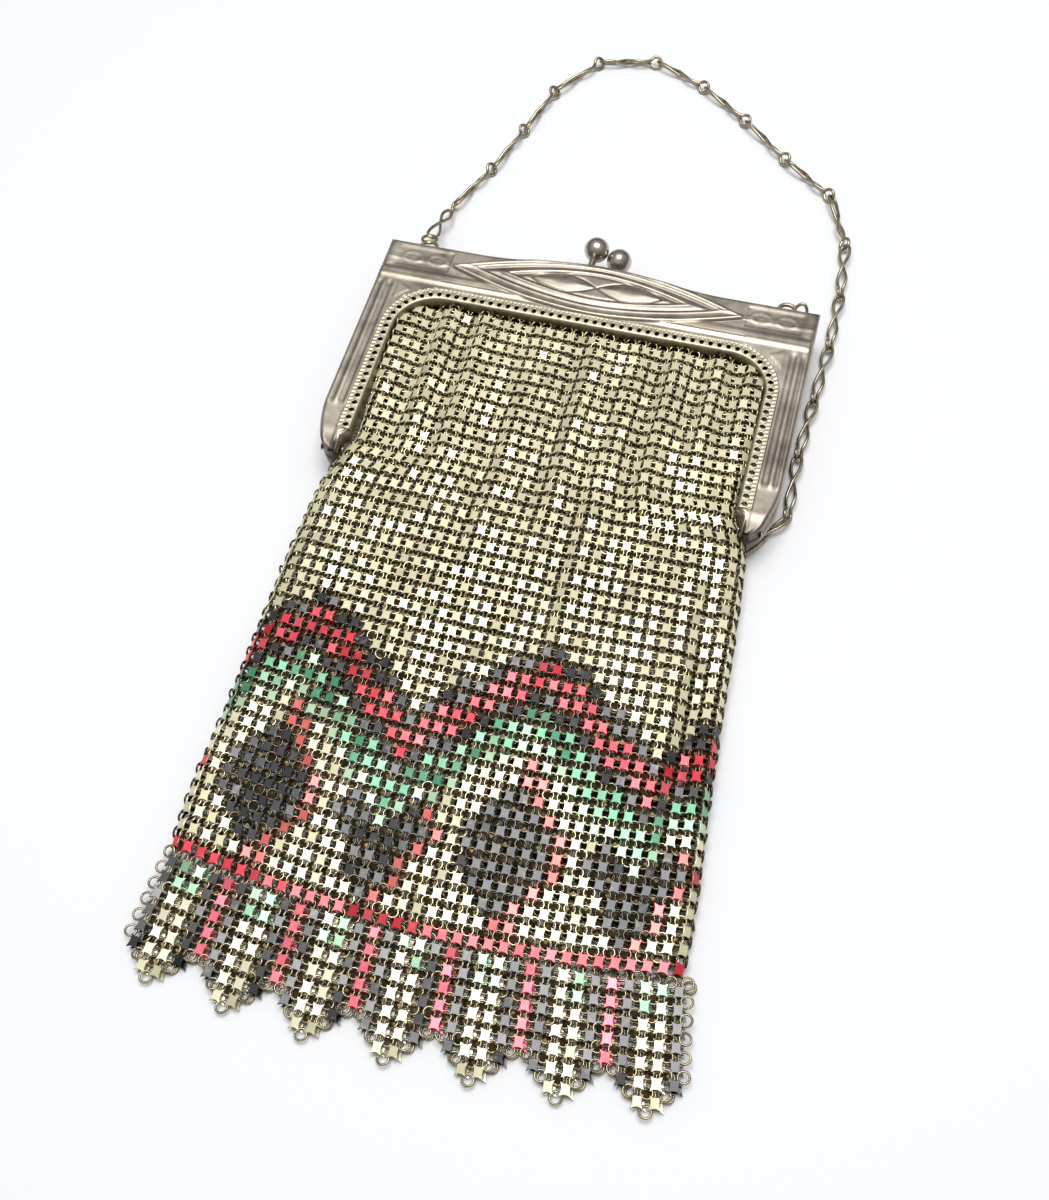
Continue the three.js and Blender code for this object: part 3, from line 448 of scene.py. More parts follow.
def face_plate(step):
    """The frame's face outside the rim strip, with its rolled sides: vertices, faces and shades."""
    strip = hole_line_length() / (HOLES - 1)
    foot = -HOLE_LINE_LENGTH - strip / 2
    inside = HOLE_LINE_HALF + RIM_OUTSIDE - 0.1
    rolls = [ROLL, ROLL * 0.62, ROLL * 0.3, ROLL * 0.08, 0.0]
    drops = [0.0] + [ROLL * (1 - math.sqrt(max(1 - (1 - r / ROLL) ** 2, 0))) for r in rolls[1:]]
    rolls.append(0.0)
    drops.append(FACE - MEETING - 0.15)
    sides = []
    for inset in rolls:
        right = outer_side(inset, step * 1.4)
        across = TIP_INSIDE + inset
        tip = [(across, -ARM_LENGTH), (across, foot - TIP_CHAMFER[1]), (across - TIP_CHAMFER[0], foot)]
        top = (0.0, float(bar_top(0)) - inset)
        outline = right + [top] + [(-a, b) for a, b in right[::-1]]
        sides.append((outline, tip, [(-a, b) for a, b in tip]))
    outer, tip_right, tip_left = sides[0]
    s = np.arange(0, hole_line_length() + strip, step * 1.4) - strip / 2
    px, py, nx, ny = hole_line(s)
    inner = list(zip(px + nx * (RIM_OUTSIDE - 0.1), py + ny * (RIM_OUTSIDE - 0.1)))
    inner[0], inner[-1] = (-inside, foot), (inside, foot)
    loop = outer + tip_left + inner + tip_right[::-1]
    grid = []
    fine = step * 0.72
    for i, y in enumerate(np.arange(-2.0, 19.0, fine)):
        shift = fine / 2 if i % 2 else 0
        for j, x in enumerate(np.arange(-HALF_WIDTH, HALF_WIDTH, fine)):
            dense = abs(x) < 39.5 and y > 1.0
            if dense or (i % 2 == 0 and j % 2 == i // 2 % 2):
                grid.append((x + shift * dense, y))
    for y in np.arange(-ARM_LENGTH + 0.3, -2.0, step * 2.2):
        for x in np.arange(48.0, HALF_WIDTH, step * 0.8):
            grid += [(x, y), (-x, y)]
    grid = np.array(grid)
    edge = np.array(loop)
    keep = np.ones(len(grid), bool)
    for i in range(0, len(grid), 2000):
        part = grid[i : i + 2000]
        near = np.min(np.hypot(part[:, None, 0] - edge[None, :, 0], part[:, None, 1] - edge[None, :, 1]), 1)
        keep[i : i + 2000] = near > step * 0.5
    grid = grid[keep]
    points = [Vector(p) for p in loop] + [Vector(p) for p in grid]
    edges = [(i, (i + 1) % len(loop)) for i in range(len(loop))]
    out, _, faces, origin, _, _ = delaunay_2d_cdt(points, edges, [], 1, 1e-5)
    flat = np.array([(v.x, v.y) for v in out])
    where = {o: i for i, names in enumerate(origin) for o in names}
    verts = np.column_stack([flat, FACE + relief(flat[:, 0], flat[:, 1])])
    dark_hollows_and_shade, worn = dark_hollows_shade_and_wear(flat[:, 0], flat[:, 1])
    verts, dark_hollows_and_shade, worn = list(map(tuple, verts)), list(dark_hollows_and_shade), list(worn)
    faces = [tuple(f) for f in faces]

    def roll(first, rows):
        before = first
        for k, row in enumerate(rows, 1):
            base = len(verts)
            fade = 1 - k / len(rows)
            for (x, y), start in zip(row, first):
                lift = (verts[start][2] - FACE) * fade
                verts.append((x, y, FACE - drops[k] + lift))
                # painted shade on the rolled sides: towards the hinge ends and along their lowest row
                dark_hollows_and_shade.append(max(float(tip_shade(y)), 0.35 * (k == len(rows))))
                worn.append(worn[start] * fade)
            now = list(range(base, base + len(row)))
            for i in range(len(row) - 1):
                faces.append((before[i], now[i], now[i + 1], before[i + 1]))
            before = now

    n = len(outer)
    roll([where[i] for i in range(n)], [side[0] for side in sides[1:]])
    roll([where[n + i] for i in range(3)], [side[2] for side in sides[1:]])
    last = len(loop)
    roll([where[last - 3 + i] for i in range(3)], [side[1][::-1] for side in sides[1:]])
    roll([where[n - 1], where[n]], [[side[0][-1], side[2][0]] for side in sides[1:]])
    roll([where[last - 1], where[0]], [[side[1][0], side[0][0]] for side in sides[1:]])
    return verts, faces, {"dark_hollows_and_shade": dark_hollows_and_shade, "worn": worn}


def rim_cell(pitch, step):
    """One hole's stretch of the rim strip, flat: places along and across, heights and faces."""
    low, high = -1.05, RIM_OUTSIDE + 0.15
    across = int(round((high - low) / step))
    along = int(round(pitch / step))
    border = [(pitch * i / along, low) for i in range(along)]
    border += [(pitch, low + (high - low) * i / across) for i in range(across)]
    border += [(pitch * (1 - i / along), high) for i in range(along)]
    border += [(0, high - (high - low) * i / across) for i in range(across)]
    sides = 12
    turns = [2 * math.pi * i / sides for i in range(sides)]
    hole = [(pitch / 2 + HOLE_RADIUS * math.cos(a), HOLE_RADIUS * math.sin(a)) for a in turns]
    inner = []
    for i in range(1, along):
        for j in range(1, across):
            a, b = pitch * i / along, low + (high - low) * j / across
            if math.hypot(a - pitch / 2, b) > HOLE_RADIUS + step * 0.5:
                inner.append((a, b))
    points = [Vector(p) for p in border + hole + inner]
    n, m = len(border), len(hole)
    edges = [(i, (i + 1) % n) for i in range(n)] + [(n + i, n + (i + 1) % m) for i in range(m)]
    out, _, faces, _, _, _ = delaunay_2d_cdt(points, edges, [], 2, 1e-5)
    flat = np.array([(v.x, v.y) for v in out])
    kept = []
    for face in faces:
        a, b = flat[list(face)].mean(0)
        if math.hypot(a - pitch / 2, b) > HOLE_RADIUS * 0.9:
            kept.append(tuple(face))
    return flat, kept, along, low


def rim_height(s, t, pitch):
    milled = 0.5 + 0.5 * np.cos(2 * np.pi * s / (pitch / 2))
    h = 0.16 * (1 - step_up(0.5, 0.8, t)) + 0.22 * milled * band(0.8, 1.55, 0.12, t)
    h = h + 0.3 * band(1.66, 1.98, 0.1, t)
    h = h + 0.1 * np.exp(-(((np.hypot(s - pitch / 2, t) - HOLE_RADIUS - 0.1) / 0.14) ** 2))
    return h


def rim_strip(step):
    pitch = hole_line_length() / (HOLES - 1)
    flat, faces, along, low = rim_cell(pitch, step)
    s, t = flat.T
    height = rim_height(s, t, pitch)
    # the turned-in edge, below the strip
    rolled = [(-1.3, -0.03), (-1.44, -0.16), (-RIM_INSIDE, -0.4), (-1.56, -1.2), (-1.66, -2.0)]
    rolled.append((-WALL_REACH, -WALL_DROP))
    cell_s, cell_t, cell_z = list(s), list(t), list(height)
    row = [int(np.argmin(np.hypot(s - pitch * i / along, t - low))) for i in range(along + 1)]
    for offset, z in rolled:
        base = len(cell_s)
        for i in range(along + 1):
            cell_s.append(pitch * i / along)
            cell_t.append(offset)
            cell_z.append(z)
        now = list(range(base, base + along + 1))
        for i in range(along):
            faces.append((row[i], now[i], now[i + 1], row[i + 1]))
        row = now
    cell_s, cell_t, cell_z = map(np.array, (cell_s, cell_t, cell_z))
    verts, all_faces, dark_hollows_and_shade = [], [], []
    count = len(cell_s)
    # painted shade: the wall dropping below the strip and the rolled inner edge are darkened; the low parts
    # of the milled band are darkened too
    shade = np.clip(0.55 - 3.2 * cell_z, 0, 1) * (cell_t > 0.6) * 0.5 + step_up(0.0, 1.2, -cell_z) * 0.8
    shade = shade + 0.3 * (cell_t < -1.1) * (cell_z > -0.5)
    for k in range(HOLES):
        px, py, nx, ny = hole_line(cell_s + (k - 0.5) * pitch)
        verts.append(np.column_stack([px + nx * cell_t, py + ny * cell_t, FACE + cell_z]))
        all_faces += [tuple(i + k * count for i in face) for face in faces]
        dark_hollows_and_shade.append(shade)
    return np.concatenate(verts), all_faces, {"dark_hollows_and_shade": np.concatenate(dark_hollows_and_shade)}


def weld(obj):
    modifier = obj.modifiers.new("Weld", "WELD")
    modifier.merge_threshold = 0.02 * MM


def half_frame(name, node, step, back):
    for part, mat, make in (("face", SILVER, face_plate), ("rim", RIM, rim_strip)):
        verts, faces, values = make(step if part == "face" else step * 0.85)
        verts = np.asarray(verts, float)
        if back:
            verts = verts * (1, 1, -1) + (0, 0, 2 * MEETING)
            faces = [f[::-1] for f in faces]
        obj = build(f"{name}_{part}", verts, faces, mat, values=values)
        weld(obj)
        solidify(obj, SHEET if part == "face" else SHEET * 0.7)
        finish_piece(obj, "silver", node)


# ---- Mesh

COLUMNS = 35
ROWS = 41
PLATE_SIDE = 0.95
PLATE_CORNER = 1.33
PLATE_STRETCH = (0.95, 1.12)
RING_RADIUS = 1.22
RING_WIRE = 0.28
RING_SINK = 0.27
SIDE_RING_RISE = 0.12
PLATE_TILT = 0.062
RING_TILT = 0.12
LEAN = 0.05

CREAM = srgb(228, 222, 182)
BLACK = srgb(51, 50, 51)
RED = srgb(206, 30, 48)
PINK = srgb(232, 130, 140)
GREEN = srgb(66, 140, 100)
MINT = srgb(172, 210, 172)
BRASS = srgb(100, 84, 56)
GILT = srgb(226, 208, 168)

# Down the bag: y, left and right side, back and front height
BAG = np.array([
    (0.0, -47.3, 47.3, 5.0, 11.0),
    (-12.0, -47.3, 47.3, 3.4, 10.8),
    (-30.0, -47.3, 47.3, 1.5, 10.2),
    (-45.0, -47.3, 47.2, 0.6, 9.3),
    (-54.0, -50.9, 51.4, 0.55, 9.0),
    (-62.0, -52.3, 52.3, 0.55, 8.7),
    (-76.0, -53.0, 53.3, 0.55, 8.1),
    (-90.0, -53.2, 54.1, 0.55, 7.6),
    (-103.0, -53.2, 54.8, 0.55, 7.2),
    (-124.0, -53.2, 56.2, 0.55, 6.4),
    (-140.0, -54.0, 57.6, 0.55, 5.5),
    (-152.0, -53.8, 58.2, 0.55, 4.7),
    (-160.0, -53.4, 58.4, 0.55, 4.3),
])
# Folds running down the mesh: x, top and bottom end, height
FOLDS = [
    (-36.5, 0.0, -50.0, 1.25),
    (-27.0, 0.0, -55.0, 1.0),
    (2.0, -6.0, -62.0, 0.9),
    (23.0, -4.0, -60.0, 1.05),
    (33.5, 0.0, -40.0, 1.0),
    (41.5, 0.0, -34.0, 0.8),
    (-12.0, -20.0, -80.0, 0.6),
    (12.5, -12.0, -95.0, 0.5),
]
FOLD_REACH = 1.9
FOLD_WIDTH = 2.6
CREASE = {"x": 48.0, "y": -96.0, "length": 27.0, "slant": 0.06, "width": 2.8, "depth": 2.4}
# How the sides of the bag turn from front to back: distance down, radius
SIDE_TURN = ((0, 36, 54), (1.5, 1.5, 5.0))
# Between these distances down, the two sheets in the window join into the bag
JOINING = (14.0, 62.0)
SHEET_EDGE = 0.85
EDGE_LIFT = 0.8
EDGE_LIFT_WIDTH = 6
FOOT_BOW = 5.6
FOOT_DEPTH = 152
ROW_START = -4.4
ROW_PITCH = 3.67
ROW_GROWTH = 0.0042


def row_level(v):
    """y of a row; the rows lie slightly further apart down the bag."""
    j = v - 0.5
    return ROW_START - ROW_PITCH * j - ROW_GROWTH * j * j


def fold_height(x, y):
    z = np.zeros_like(x)
    for centre, top, foot, height in FOLDS:
        fade = step_up(foot, foot + 18, y) * (1 - 0.5 * step_up(top - 6, top, y))
        ridge = np.exp(-(((x - centre - FOLD_REACH) / FOLD_WIDTH) ** 2))
        hollow = np.exp(-(((x - centre + FOLD_REACH) / FOLD_WIDTH) ** 2))
        z += height * fade * (ridge - hollow)
    below = y - CREASE["y"]
    crease = np.exp(-((below / CREASE["length"]) ** 2))
    crease = crease * np.exp(-(((x - CREASE["x"] + below * CREASE["slant"]) / CREASE["width"]) ** 2))
    return z - CREASE["depth"] * crease


def section(v):
    """Points round the bag at a row, at every half column: front from left to right, then back."""
    y = row_level(v)
    left, right, back, front = (np.interp(-y, -BAG[:, 0], BAG[:, k]) for k in (1, 2, 3, 4))
    middle, half, centre = (left + right) / 2, (right - left) / 2, (front + back) / 2
    share = np.linspace(-1, 1, 1201)
    share = np.sign(share) * (1 - (1 - np.abs(share)) ** 1.6)
    turn = np.interp(-y, *SIDE_TURN)
    inside = np.clip((1 - np.abs(share)) * half / turn, 0, 1)
    swell = np.sqrt(1 - (1 - inside) ** 2)
    # in the window the front and the back hang as two sheets, lifted towards the strip at both sides
    apart = 1 - step_up(*JOINING, -y)
    swell = swell + (1 - swell) * SHEET_EDGE * apart
    lift = EDGE_LIFT * apart * np.clip(1 - (1 - np.abs(share)) * half / EDGE_LIFT_WIDTH, 0, 1) ** 2
    bow = FOOT_BOW * min(-y / FOOT_DEPTH, 1.0) ** 2
    x = middle + half * share
    level = y + bow * share**2
    rows = []
    for face, reach in ((1, front - centre), (-1, back - centre)):
        z = centre + reach * swell + (fold_height(x, level) * swell + lift if face > 0 else 0)
        length = np.concatenate([[0], np.cumsum(np.hypot(np.diff(x), np.diff(z)))])
        at = np.linspace(0, length[-1], 2 * COLUMNS + 1)
        rows.append(np.column_stack([np.interp(at, length, a) for a in (x, level, z)]))
    return np.concatenate([rows[0], rows[1][::-1][1:-1]])


def lattice():
    grid = np.array([section(v) for v in np.arange(0, ROWS + 0.25, 0.5)])
    down = np.gradient(grid, axis=0)
    round_ = np.roll(grid, -1, 1) - np.roll(grid, 1, 1)
    normal = np.cross(down, round_)
    normal /= np.linalg.norm(normal, axis=2, keepdims=True)
    return grid, -down / np.linalg.norm(down, axis=2, keepdims=True), normal


def axes_from(up, normal, tilt):
    """Three axes for each place: across, up the rows, outwards, with a small random tilt."""
    normal = normal + rng.normal(0, tilt, normal.shape)
    normal /= np.linalg.norm(normal, axis=1, keepdims=True)
    up = up - normal * np.sum(up * normal, 1, keepdims=True)
    up /= np.linalg.norm(up, axis=1, keepdims=True)
    return np.stack([np.cross(up, normal), up, normal], 1)


def plate_shape(fine):
    """A square plate with drawn-in sides: a flat top, a bent-down rim and an underside."""
    quarter = [(PLATE_CORNER, PLATE_CORNER), (PLATE_SIDE * 1.05, PLATE_SIDE * 0.5), (PLATE_SIDE, 0.0),
               (PLATE_SIDE * 1.05, -PLATE_SIDE * 0.5)]
    outline = []
    for turn in range(4):
        c, s = math.cos(-turn * math.pi / 2), math.sin(-turn * math.pi / 2)
        outline += [(a * c - b * s, a * s + b * c) for a, b in quarter]
    edge = np.array(outline[::-1]) * PLATE_STRETCH
    is_corner = np.abs(edge / PLATE_STRETCH).min(1) > PLATE_SIDE * 0.9
    # from the top down: share of the outline, height of the sides, height of the corners
    if fine:
        rings = [(0.9, 0.16, 0.14), (1.0, 0.07, 0.0), (0.97, -0.16, -0.4)]
    else:
        rings = [(1.0, 0.1, 0.0), (0.97, -0.16, -0.36)]
    verts = np.concatenate([np.column_stack([edge * k, np.where(is_corner, low, z)]) for k, z, low in rings])
    n = len(edge)
    faces = [tuple(range(n))]
    for r in range(len(rings) - 1):
        for i in range(n):
            j = (i + 1) % n
            faces.append((r * n + i, (r + 1) * n + i, (r + 1) * n + j, r * n + j))
    last = (len(rings) - 1) * n
    faces.append(tuple(last + i for i in range(n))[::-1])
    return verts, faces


def plate_colours(colours, shape):
    """Enamel on the upper side of each plate, dark brass below, darkened further as painted shade inside the
    bag.
    """
    shaded_underside = (np.arange(len(shape)) >= len(shape) - 16)[None, :, None]
    return np.where(shaded_underside, np.array(BRASS) * 0.35, colours[:, None, :]).reshape(-1, 3)


def plug_shape():
    """The folded legs of four plates, seen as a dark knot inside a ring."""
    a = np.arange(8) * math.pi / 4
    reach = np.where(np.arange(8) % 2, 0.98, 0.72)
    flat = np.column_stack([np.cos(a) * reach, np.sin(a) * reach])
    verts = np.vstack([np.column_stack([flat, np.full(8, -0.36)]), (0, 0, -0.14), (0, 0, -0.7)])
    faces = [(8, i, (i + 1) % 8) for i in range(8)] + [(9, (i + 1) % 8, i) for i in range(8)]
    return verts, faces


def zigzag(a):
    return np.abs((a % 1.0) * 2 - 1)


def design(column, row):
    """Enamel colours: a zigzag band over lozenges, on a pale gold ground."""
    column, row = np.asarray(column, float), np.asarray(row, float)
    colour = np.tile(CREAM, (len(column), 1))
    below = row - (23.0 + 6.0 * zigzag((column + 4.0) / 17.0))

    def paint(where, tone, amount=1.0):
        where = where.astype(float)[:, None] * amount
        colour[:] = colour * (1 - where) + np.array(tone) * where

    across = ((column - 4.5) / 8.5 + 0.5) % 1.0 - 0.5
    lozenge = np.abs(across) * 8.5 / 3.3 + np.abs(row - 35.0) / 4.6
    paint((lozenge < 1.34) & (across > 0) & (below > 3.6), RED, 0.85)
    paint(lozenge < 1.0, BLACK)
    paint((below > -1.0) & (below <= 0.2), BLACK)
    paint((below > 0.2) & (below <= 2.2), RED)
    paint((below > 2.2) & (below <= 3.2), BLACK)
    paint((below > 3.2) & (below <= 5.2), GREEN)
    paint((below > 5.2) & (below <= 6.2), MINT, 0.8)
    paint(row >= ROWS - 1, RED)
    return colour


def vary(colour):
    """Small differences of each plate: lighter, paler or slightly browner."""
    count = len(colour)
    red = (colour[:, 0] > 0.4) & (colour[:, 1] < 0.15)
    green = (colour[:, 1] > colour[:, 0] * 1.5) & (colour[:, 1] > 0.15)
    pale = rng.random(count)[:, None] ** 2
    colour = np.where(red[:, None], colour * (1 - 0.45 * pale) + np.array(PINK) * 0.45 * pale, colour)
    colour = np.where(green[:, None], colour * (1 - 0.7 * pale) + np.array(MINT) * 0.7 * pale, colour)
    return np.clip(colour * rng.normal(1.0, 0.07, (count, 1)), 0, 1)


def in_window(points, margin):
    """False for places that the frame's rounded corners would cover."""
    x, y = np.abs(points[:, 0]), points[:, 1]
    radius = HOLE_LINE_RADIUS - RIM_INSIDE - margin
    corner_x, corner_y = HOLE_LINE_HALF - HOLE_LINE_RADIUS, -HOLE_LINE_RADIUS
    outside = (x > corner_x) & (y > corner_y) & (np.hypot(x - corner_x, y - corner_y) > radius)
    return ~outside


def lean(column, row):
    """Slow waves in the mesh, by which neighbouring plates tip the same way."""
    side = np.sin(column * 0.62 + 1.4 * np.sin(row * 0.21)) + 0.6 * np.sin(column * 0.27 - row * 0.19 + 2.0)
    along = 0.9 * np.sin(column * 0.8 + 2.2 * np.sin(row * 0.33)) + 0.5 * np.sin(row * 0.9 + column * 1.1)
    return np.column_stack([LEAN * side, 0.75 * LEAN * along, np.zeros(len(side))])


def ring_tone(colours):
    """Brass wire with some of the enamel of the plates beside it."""
    return colours * 0.2 + np.array(GILT) * (0.1 + 0.55 * colours[:, 1:2] ** 0.5)


def mesh_bag():
    grid, up, normal = lattice()
    around = grid.shape[1]
    for layer, fine in (("front", True), ("back", False)):
        columns = range(COLUMNS) if fine else range(COLUMNS, 2 * COLUMNS)
        at = np.array([(2 * r + 1, (2 * c + 1) % around, r, c) for r in range(ROWS) for c in columns])
        places = grid[at[:, 0], at[:, 1]]
        keep = in_window(places, 0.55)
        at, places = at[keep], places[keep]
        out = normal[at[:, 0], at[:, 1]] + lean(at[:, 3].astype(float), at[:, 2].astype(float))
        frames = axes_from(up[at[:, 0], at[:, 1]], out, PLATE_TILT)
        shape, faces = plate_shape(fine)
        verts, faces = stamp(shape, faces, places, frames)
        column = at[:, 3] if fine else 2 * COLUMNS - 1 - at[:, 3]
        colours = plate_colours(vary(design(column, at[:, 2])), shape)
        obj = build(f"mesh_plates_{layer}", verts, faces, ENAMEL, colours, smooth=False)
        finish_piece(obj, "enamel", "mesh_bag")

        columns = range(COLUMNS + 1) if fine else range(COLUMNS + 1, 2 * COLUMNS)
        at = np.array([(2 * r, (2 * c) % around, r, c) for r in range(ROWS) for c in columns])
        places = grid[at[:, 0], at[:, 1]]
        keep = in_window(places, -0.1)
        at, places = at[keep], places[keep]
        out = normal[at[:, 0], at[:, 1]]
        frames = axes_from(up[at[:, 0], at[:, 1]], out, RING_TILT)
        shape, faces = torus(RING_RADIUS, RING_WIRE, 12 if fine else 8, 4)
        at_side = (at[:, 3:4] % COLUMNS == 0) & (places[:, 1:2] < -52)
        offset = out * np.where(at_side, SIDE_RING_RISE, -RING_SINK)
        verts, faces = stamp(shape, faces, places + offset, frames)
        column = at[:, 3] - 0.5 if fine else 2 * COLUMNS - 0.5 - at[:, 3]
        tone = ring_tone(design(column, at[:, 2] - 0.5))
        # painted light: the top row of rings, in the shadow under the strip, is coloured as bright lit gilt
        tone = np.where(at[:, 2:3] == 0, np.array(GILT) * 0.8, tone)
        tone = np.where(at_side, np.array(BRASS) * 0.8, tone)
        obj = build(f"mesh_rings_{layer}", verts, faces, RINGS, np.repeat(tone, len(shape), 0))
        finish_piece(obj, "enamel", "mesh_bag")
        inner = at[:, 2] > 0
        plugs(f"mesh_knots_{layer}", places[inner], frames[inner], "mesh_bag")


def plugs(name, places, frames, node):
    shape, faces = plug_shape()
    verts, faces = stamp(shape, faces, places, frames)
    tone = np.repeat(rng.uniform(0.16, 0.6, (len(places), 1)) * np.array(BRASS), len(shape), 0)
    finish_piece(build(name, verts, faces, RINGS, tone, smooth=False), "enamel", node)


# ---- Fringe

FRINGE_COLUMNS = 34
FRINGE_ROWS = 7
FRINGE_PITCH = 3.6
FRINGE_TOP = -159.0
FRINGE_DEPTH = 25
FRINGE_BOW = 4.2
# x at the top and spread over the depth of the fringe
FRINGE_LEFT = (-53.3, -2.1)
FRINGE_RIGHT = (59.6, 4.2)
FLAT_HEIGHT = 0.75
STRIPES = (3, 0, 0, 3, 2)
PALE = srgb(240, 234, 200)
ROSE = srgb(234, 96, 112)
GREY = srgb(82, 81, 79)


def fringe_place(column, row, shift, height):
    """Middle of a fringe cell: column and row may be halves."""
    share = 2 * (column + 0.5) / FRINGE_COLUMNS - 1
    down = FRINGE_PITCH * (row + 0.5)
    left, right = (start + spread * down / FRINGE_DEPTH for start, spread in (FRINGE_LEFT, FRINGE_RIGHT))
    x = (left + right) / 2 + share * (right - left) / 2 + shift
    y = FRINGE_TOP + FRINGE_BOW * share**2 - down
    z = height * (1 - 0.42 * down / FRINGE_DEPTH) + 0.25 * np.sin(column * 1.3 + row * 0.4)
    return np.column_stack([x, y, z])


def rows_in(column):
    kind = STRIPES[column % len(STRIPES)]
    return {2: FRINGE_ROWS - 2, 3: FRINGE_ROWS - 1, 0: FRINGE_ROWS}[kind]


def fringe(layer, shift, height, facing):
    cells = [(c, r) for c in range(FRINGE_COLUMNS) for r in range(rows_in(c))]
    column, row = np.array(cells, float).T
    places = fringe_place(column, row, shift, height)
    ahead = fringe_place(column, row - 1, shift, height)
    side = fringe_place(column + 1, row, shift, height)
    up = ahead - places
    out = np.cross(side - places, up)
    out /= np.linalg.norm(out, axis=1, keepdims=True)
    frames = axes_from(up, out, 0.06)
    places[:, 2] = np.maximum(places[:, 2], FLAT_HEIGHT)
    kind = np.array([STRIPES[int(c) % len(STRIPES)] for c in column])
    tone = np.array([PALE, RED, ROSE, GREY])[kind]
    start = (row < 2) & (kind == 0)
    pick = rng.random(len(row)) < 0.7
    tone = np.where((start & pick)[:, None], np.array(MINT) * 0.5 + np.array(GREEN) * 0.5, tone)
    last = np.array([r == rows_in(int(c)) - 1 for c, r in zip(column, row)])
    # painted shade: the end plate of each grey and pale column, where the tab turns over, is darkened
    tone = np.where((last & (kind == 3))[:, None], np.array(BLACK) * 0.25, tone)
    tone = np.where((last & (kind == 0))[:, None], np.array(CREAM) * 0.7, tone)
    shape, faces = plate_shape(facing)
    verts, faces = stamp(shape, faces, places, frames)
    enamel = plate_colours(vary(tone), shape)
    obj = build(f"fringe_plates_{layer}", verts, faces, ENAMEL, enamel, smooth=False)
    finish_piece(obj, "enamel", f"fringe_{layer}")

    spots = {}
    for c, r in cells:
        for spot in ((c - 0.5, r - 0.5), (c + 0.5, r - 0.5), (c - 0.5, r + 0.5), (c + 0.5, r + 0.5)):
            spots[spot] = spots.get(spot, 0) + 1
    kept = sorted(spot for spot, plates in spots.items() if plates > (1 if facing else 2) or spot[1] < 0)
    column, row = np.array(kept, float).T
    places = fringe_place(column, row, shift, height) - (0, 0, 0.24)
    places[:, 2] = np.maximum(places[:, 2], RING_WIRE + 0.38)
    count = len(places)
    frames = axes_from(np.tile((0.0, 1.0, 0.0), (count, 1)), np.tile((0.0, 0.0, 1.0), (count, 1)), 0.1)
    shape, faces = torus(RING_RADIUS, RING_WIRE, 12, 5)
    verts, faces = stamp(shape, faces, places, frames)
    tone = np.tile(np.array(GILT) * 0.48, (len(verts), 1))
    obj = build(f"fringe_rings_{layer}", verts, faces, RINGS, tone)
    finish_piece(obj, "enamel", f"fringe_{layer}")
    inner = np.array([spots[spot] == 4 for spot in kept])
    knots = places[inner]
    knots[:, 2] = np.maximum(knots[:, 2], FLAT_HEIGHT)
    plugs(f"fringe_knots_{layer}", knots, frames[inner], f"fringe_{layer}")


# ---- Chain

WIRE_RADIUS = 0.44
LOOP_HALF = 1.34
EYE_RADIUS = 1.5
# x, y, roll in degrees of the link that starts there, lift over the table
JOINTS = [
    (-49.2, 24.6, 20, 4.2), (-48.0, 41.3, -40, 0), (-41.3, 58.1, -48, 0), (-36.5, 75.2, -50, 0),
    (-31.9, 92.3, -38, 0), (-21.8, 106.9, -48, 0), (-5.0, 110.2, -42, 0), (10.7, 102.3, -50, 0),
    (24.9, 91.1, -44, 0), (38.5, 78.3, -38, 0), (52.7, 67.4, -40, 0), (59.2, 50.0, 30, 0),
    (60.5, 32.3, 32, 0), (60.5, 14.4, 28, 0), (59.6, -3.5, 32, 0), (58.7, -21.2, 34, 0),
    (59.3, -39.1, 45, 0), (49.4, -53.9, 45, 0), (54.4, -36.2, 45, 0), (54.9, -18.8, 45, 0),
    (53.3, -0.3, 45, 0), (50.6, 18.1, 45, 0),
]


def smooth_loop(points, count):
    """A closed curve through the points, at even parameter steps."""
    points = np.asarray(points)
    n = len(points)
    out = []
    for k in range(count):
        t = k * n / count
        i, f = int(t), t - int(t)
        a, b, c, d = (points[(i + j) % n] for j in (-1, 0, 1, 2))
        square, cube = 2 * a - 5 * b + 4 * c - d, 3 * b - a - 3 * c + d
        out.append(0.5 * (2 * b + (c - a) * f + square * f * f + cube * f**3))
    return np.array(out)


def tube(points, radius, sides):
    """A closed wire through a closed curve."""
    points = np.asarray(points)
    n = len(points)
    tangent = np.roll(points, -1, 0) - np.roll(points, 1, 0)
    tangent /= np.linalg.norm(tangent, axis=1, keepdims=True)
    start = np.cross(tangent[0], (0.3, 0.2, 0.93))
    normal = [start / np.linalg.norm(start)]
    for i in range(1, n + 1):
        last = normal[-1] - tangent[i % n] * np.dot(normal[-1], tangent[i % n])
        normal.append(last / np.linalg.norm(last))
    twist = math.atan2(np.dot(np.cross(normal[0], normal[n]), tangent[0]), np.dot(normal[0], normal[n]))
    verts, faces = [], []
    for i in range(n):
        across = np.cross(tangent[i], normal[i])
        for s in range(sides):
            a = 2 * math.pi * s / sides - twist * i / n
            verts.append(points[i] + radius * (math.cos(a) * normal[i] + math.sin(a) * across))
            faces.append((
                i * sides + s, i * sides + (s + 1) % sides,
                (i + 1) % n * sides + (s + 1) % sides, (i + 1) % n * sides + s,
            ))
    return np.array(verts), faces


def add(store, verts, faces):
    base = sum(len(v) for v in store[0])
    store[0].append(verts)
    store[1].extend(tuple(i + base for i in f) for f in faces)


def link_height(roll):
    return max(LOOP_HALF * abs(math.sin(roll)), EYE_RADIUS * math.cos(roll)) + WIRE_RADIUS + 0.2


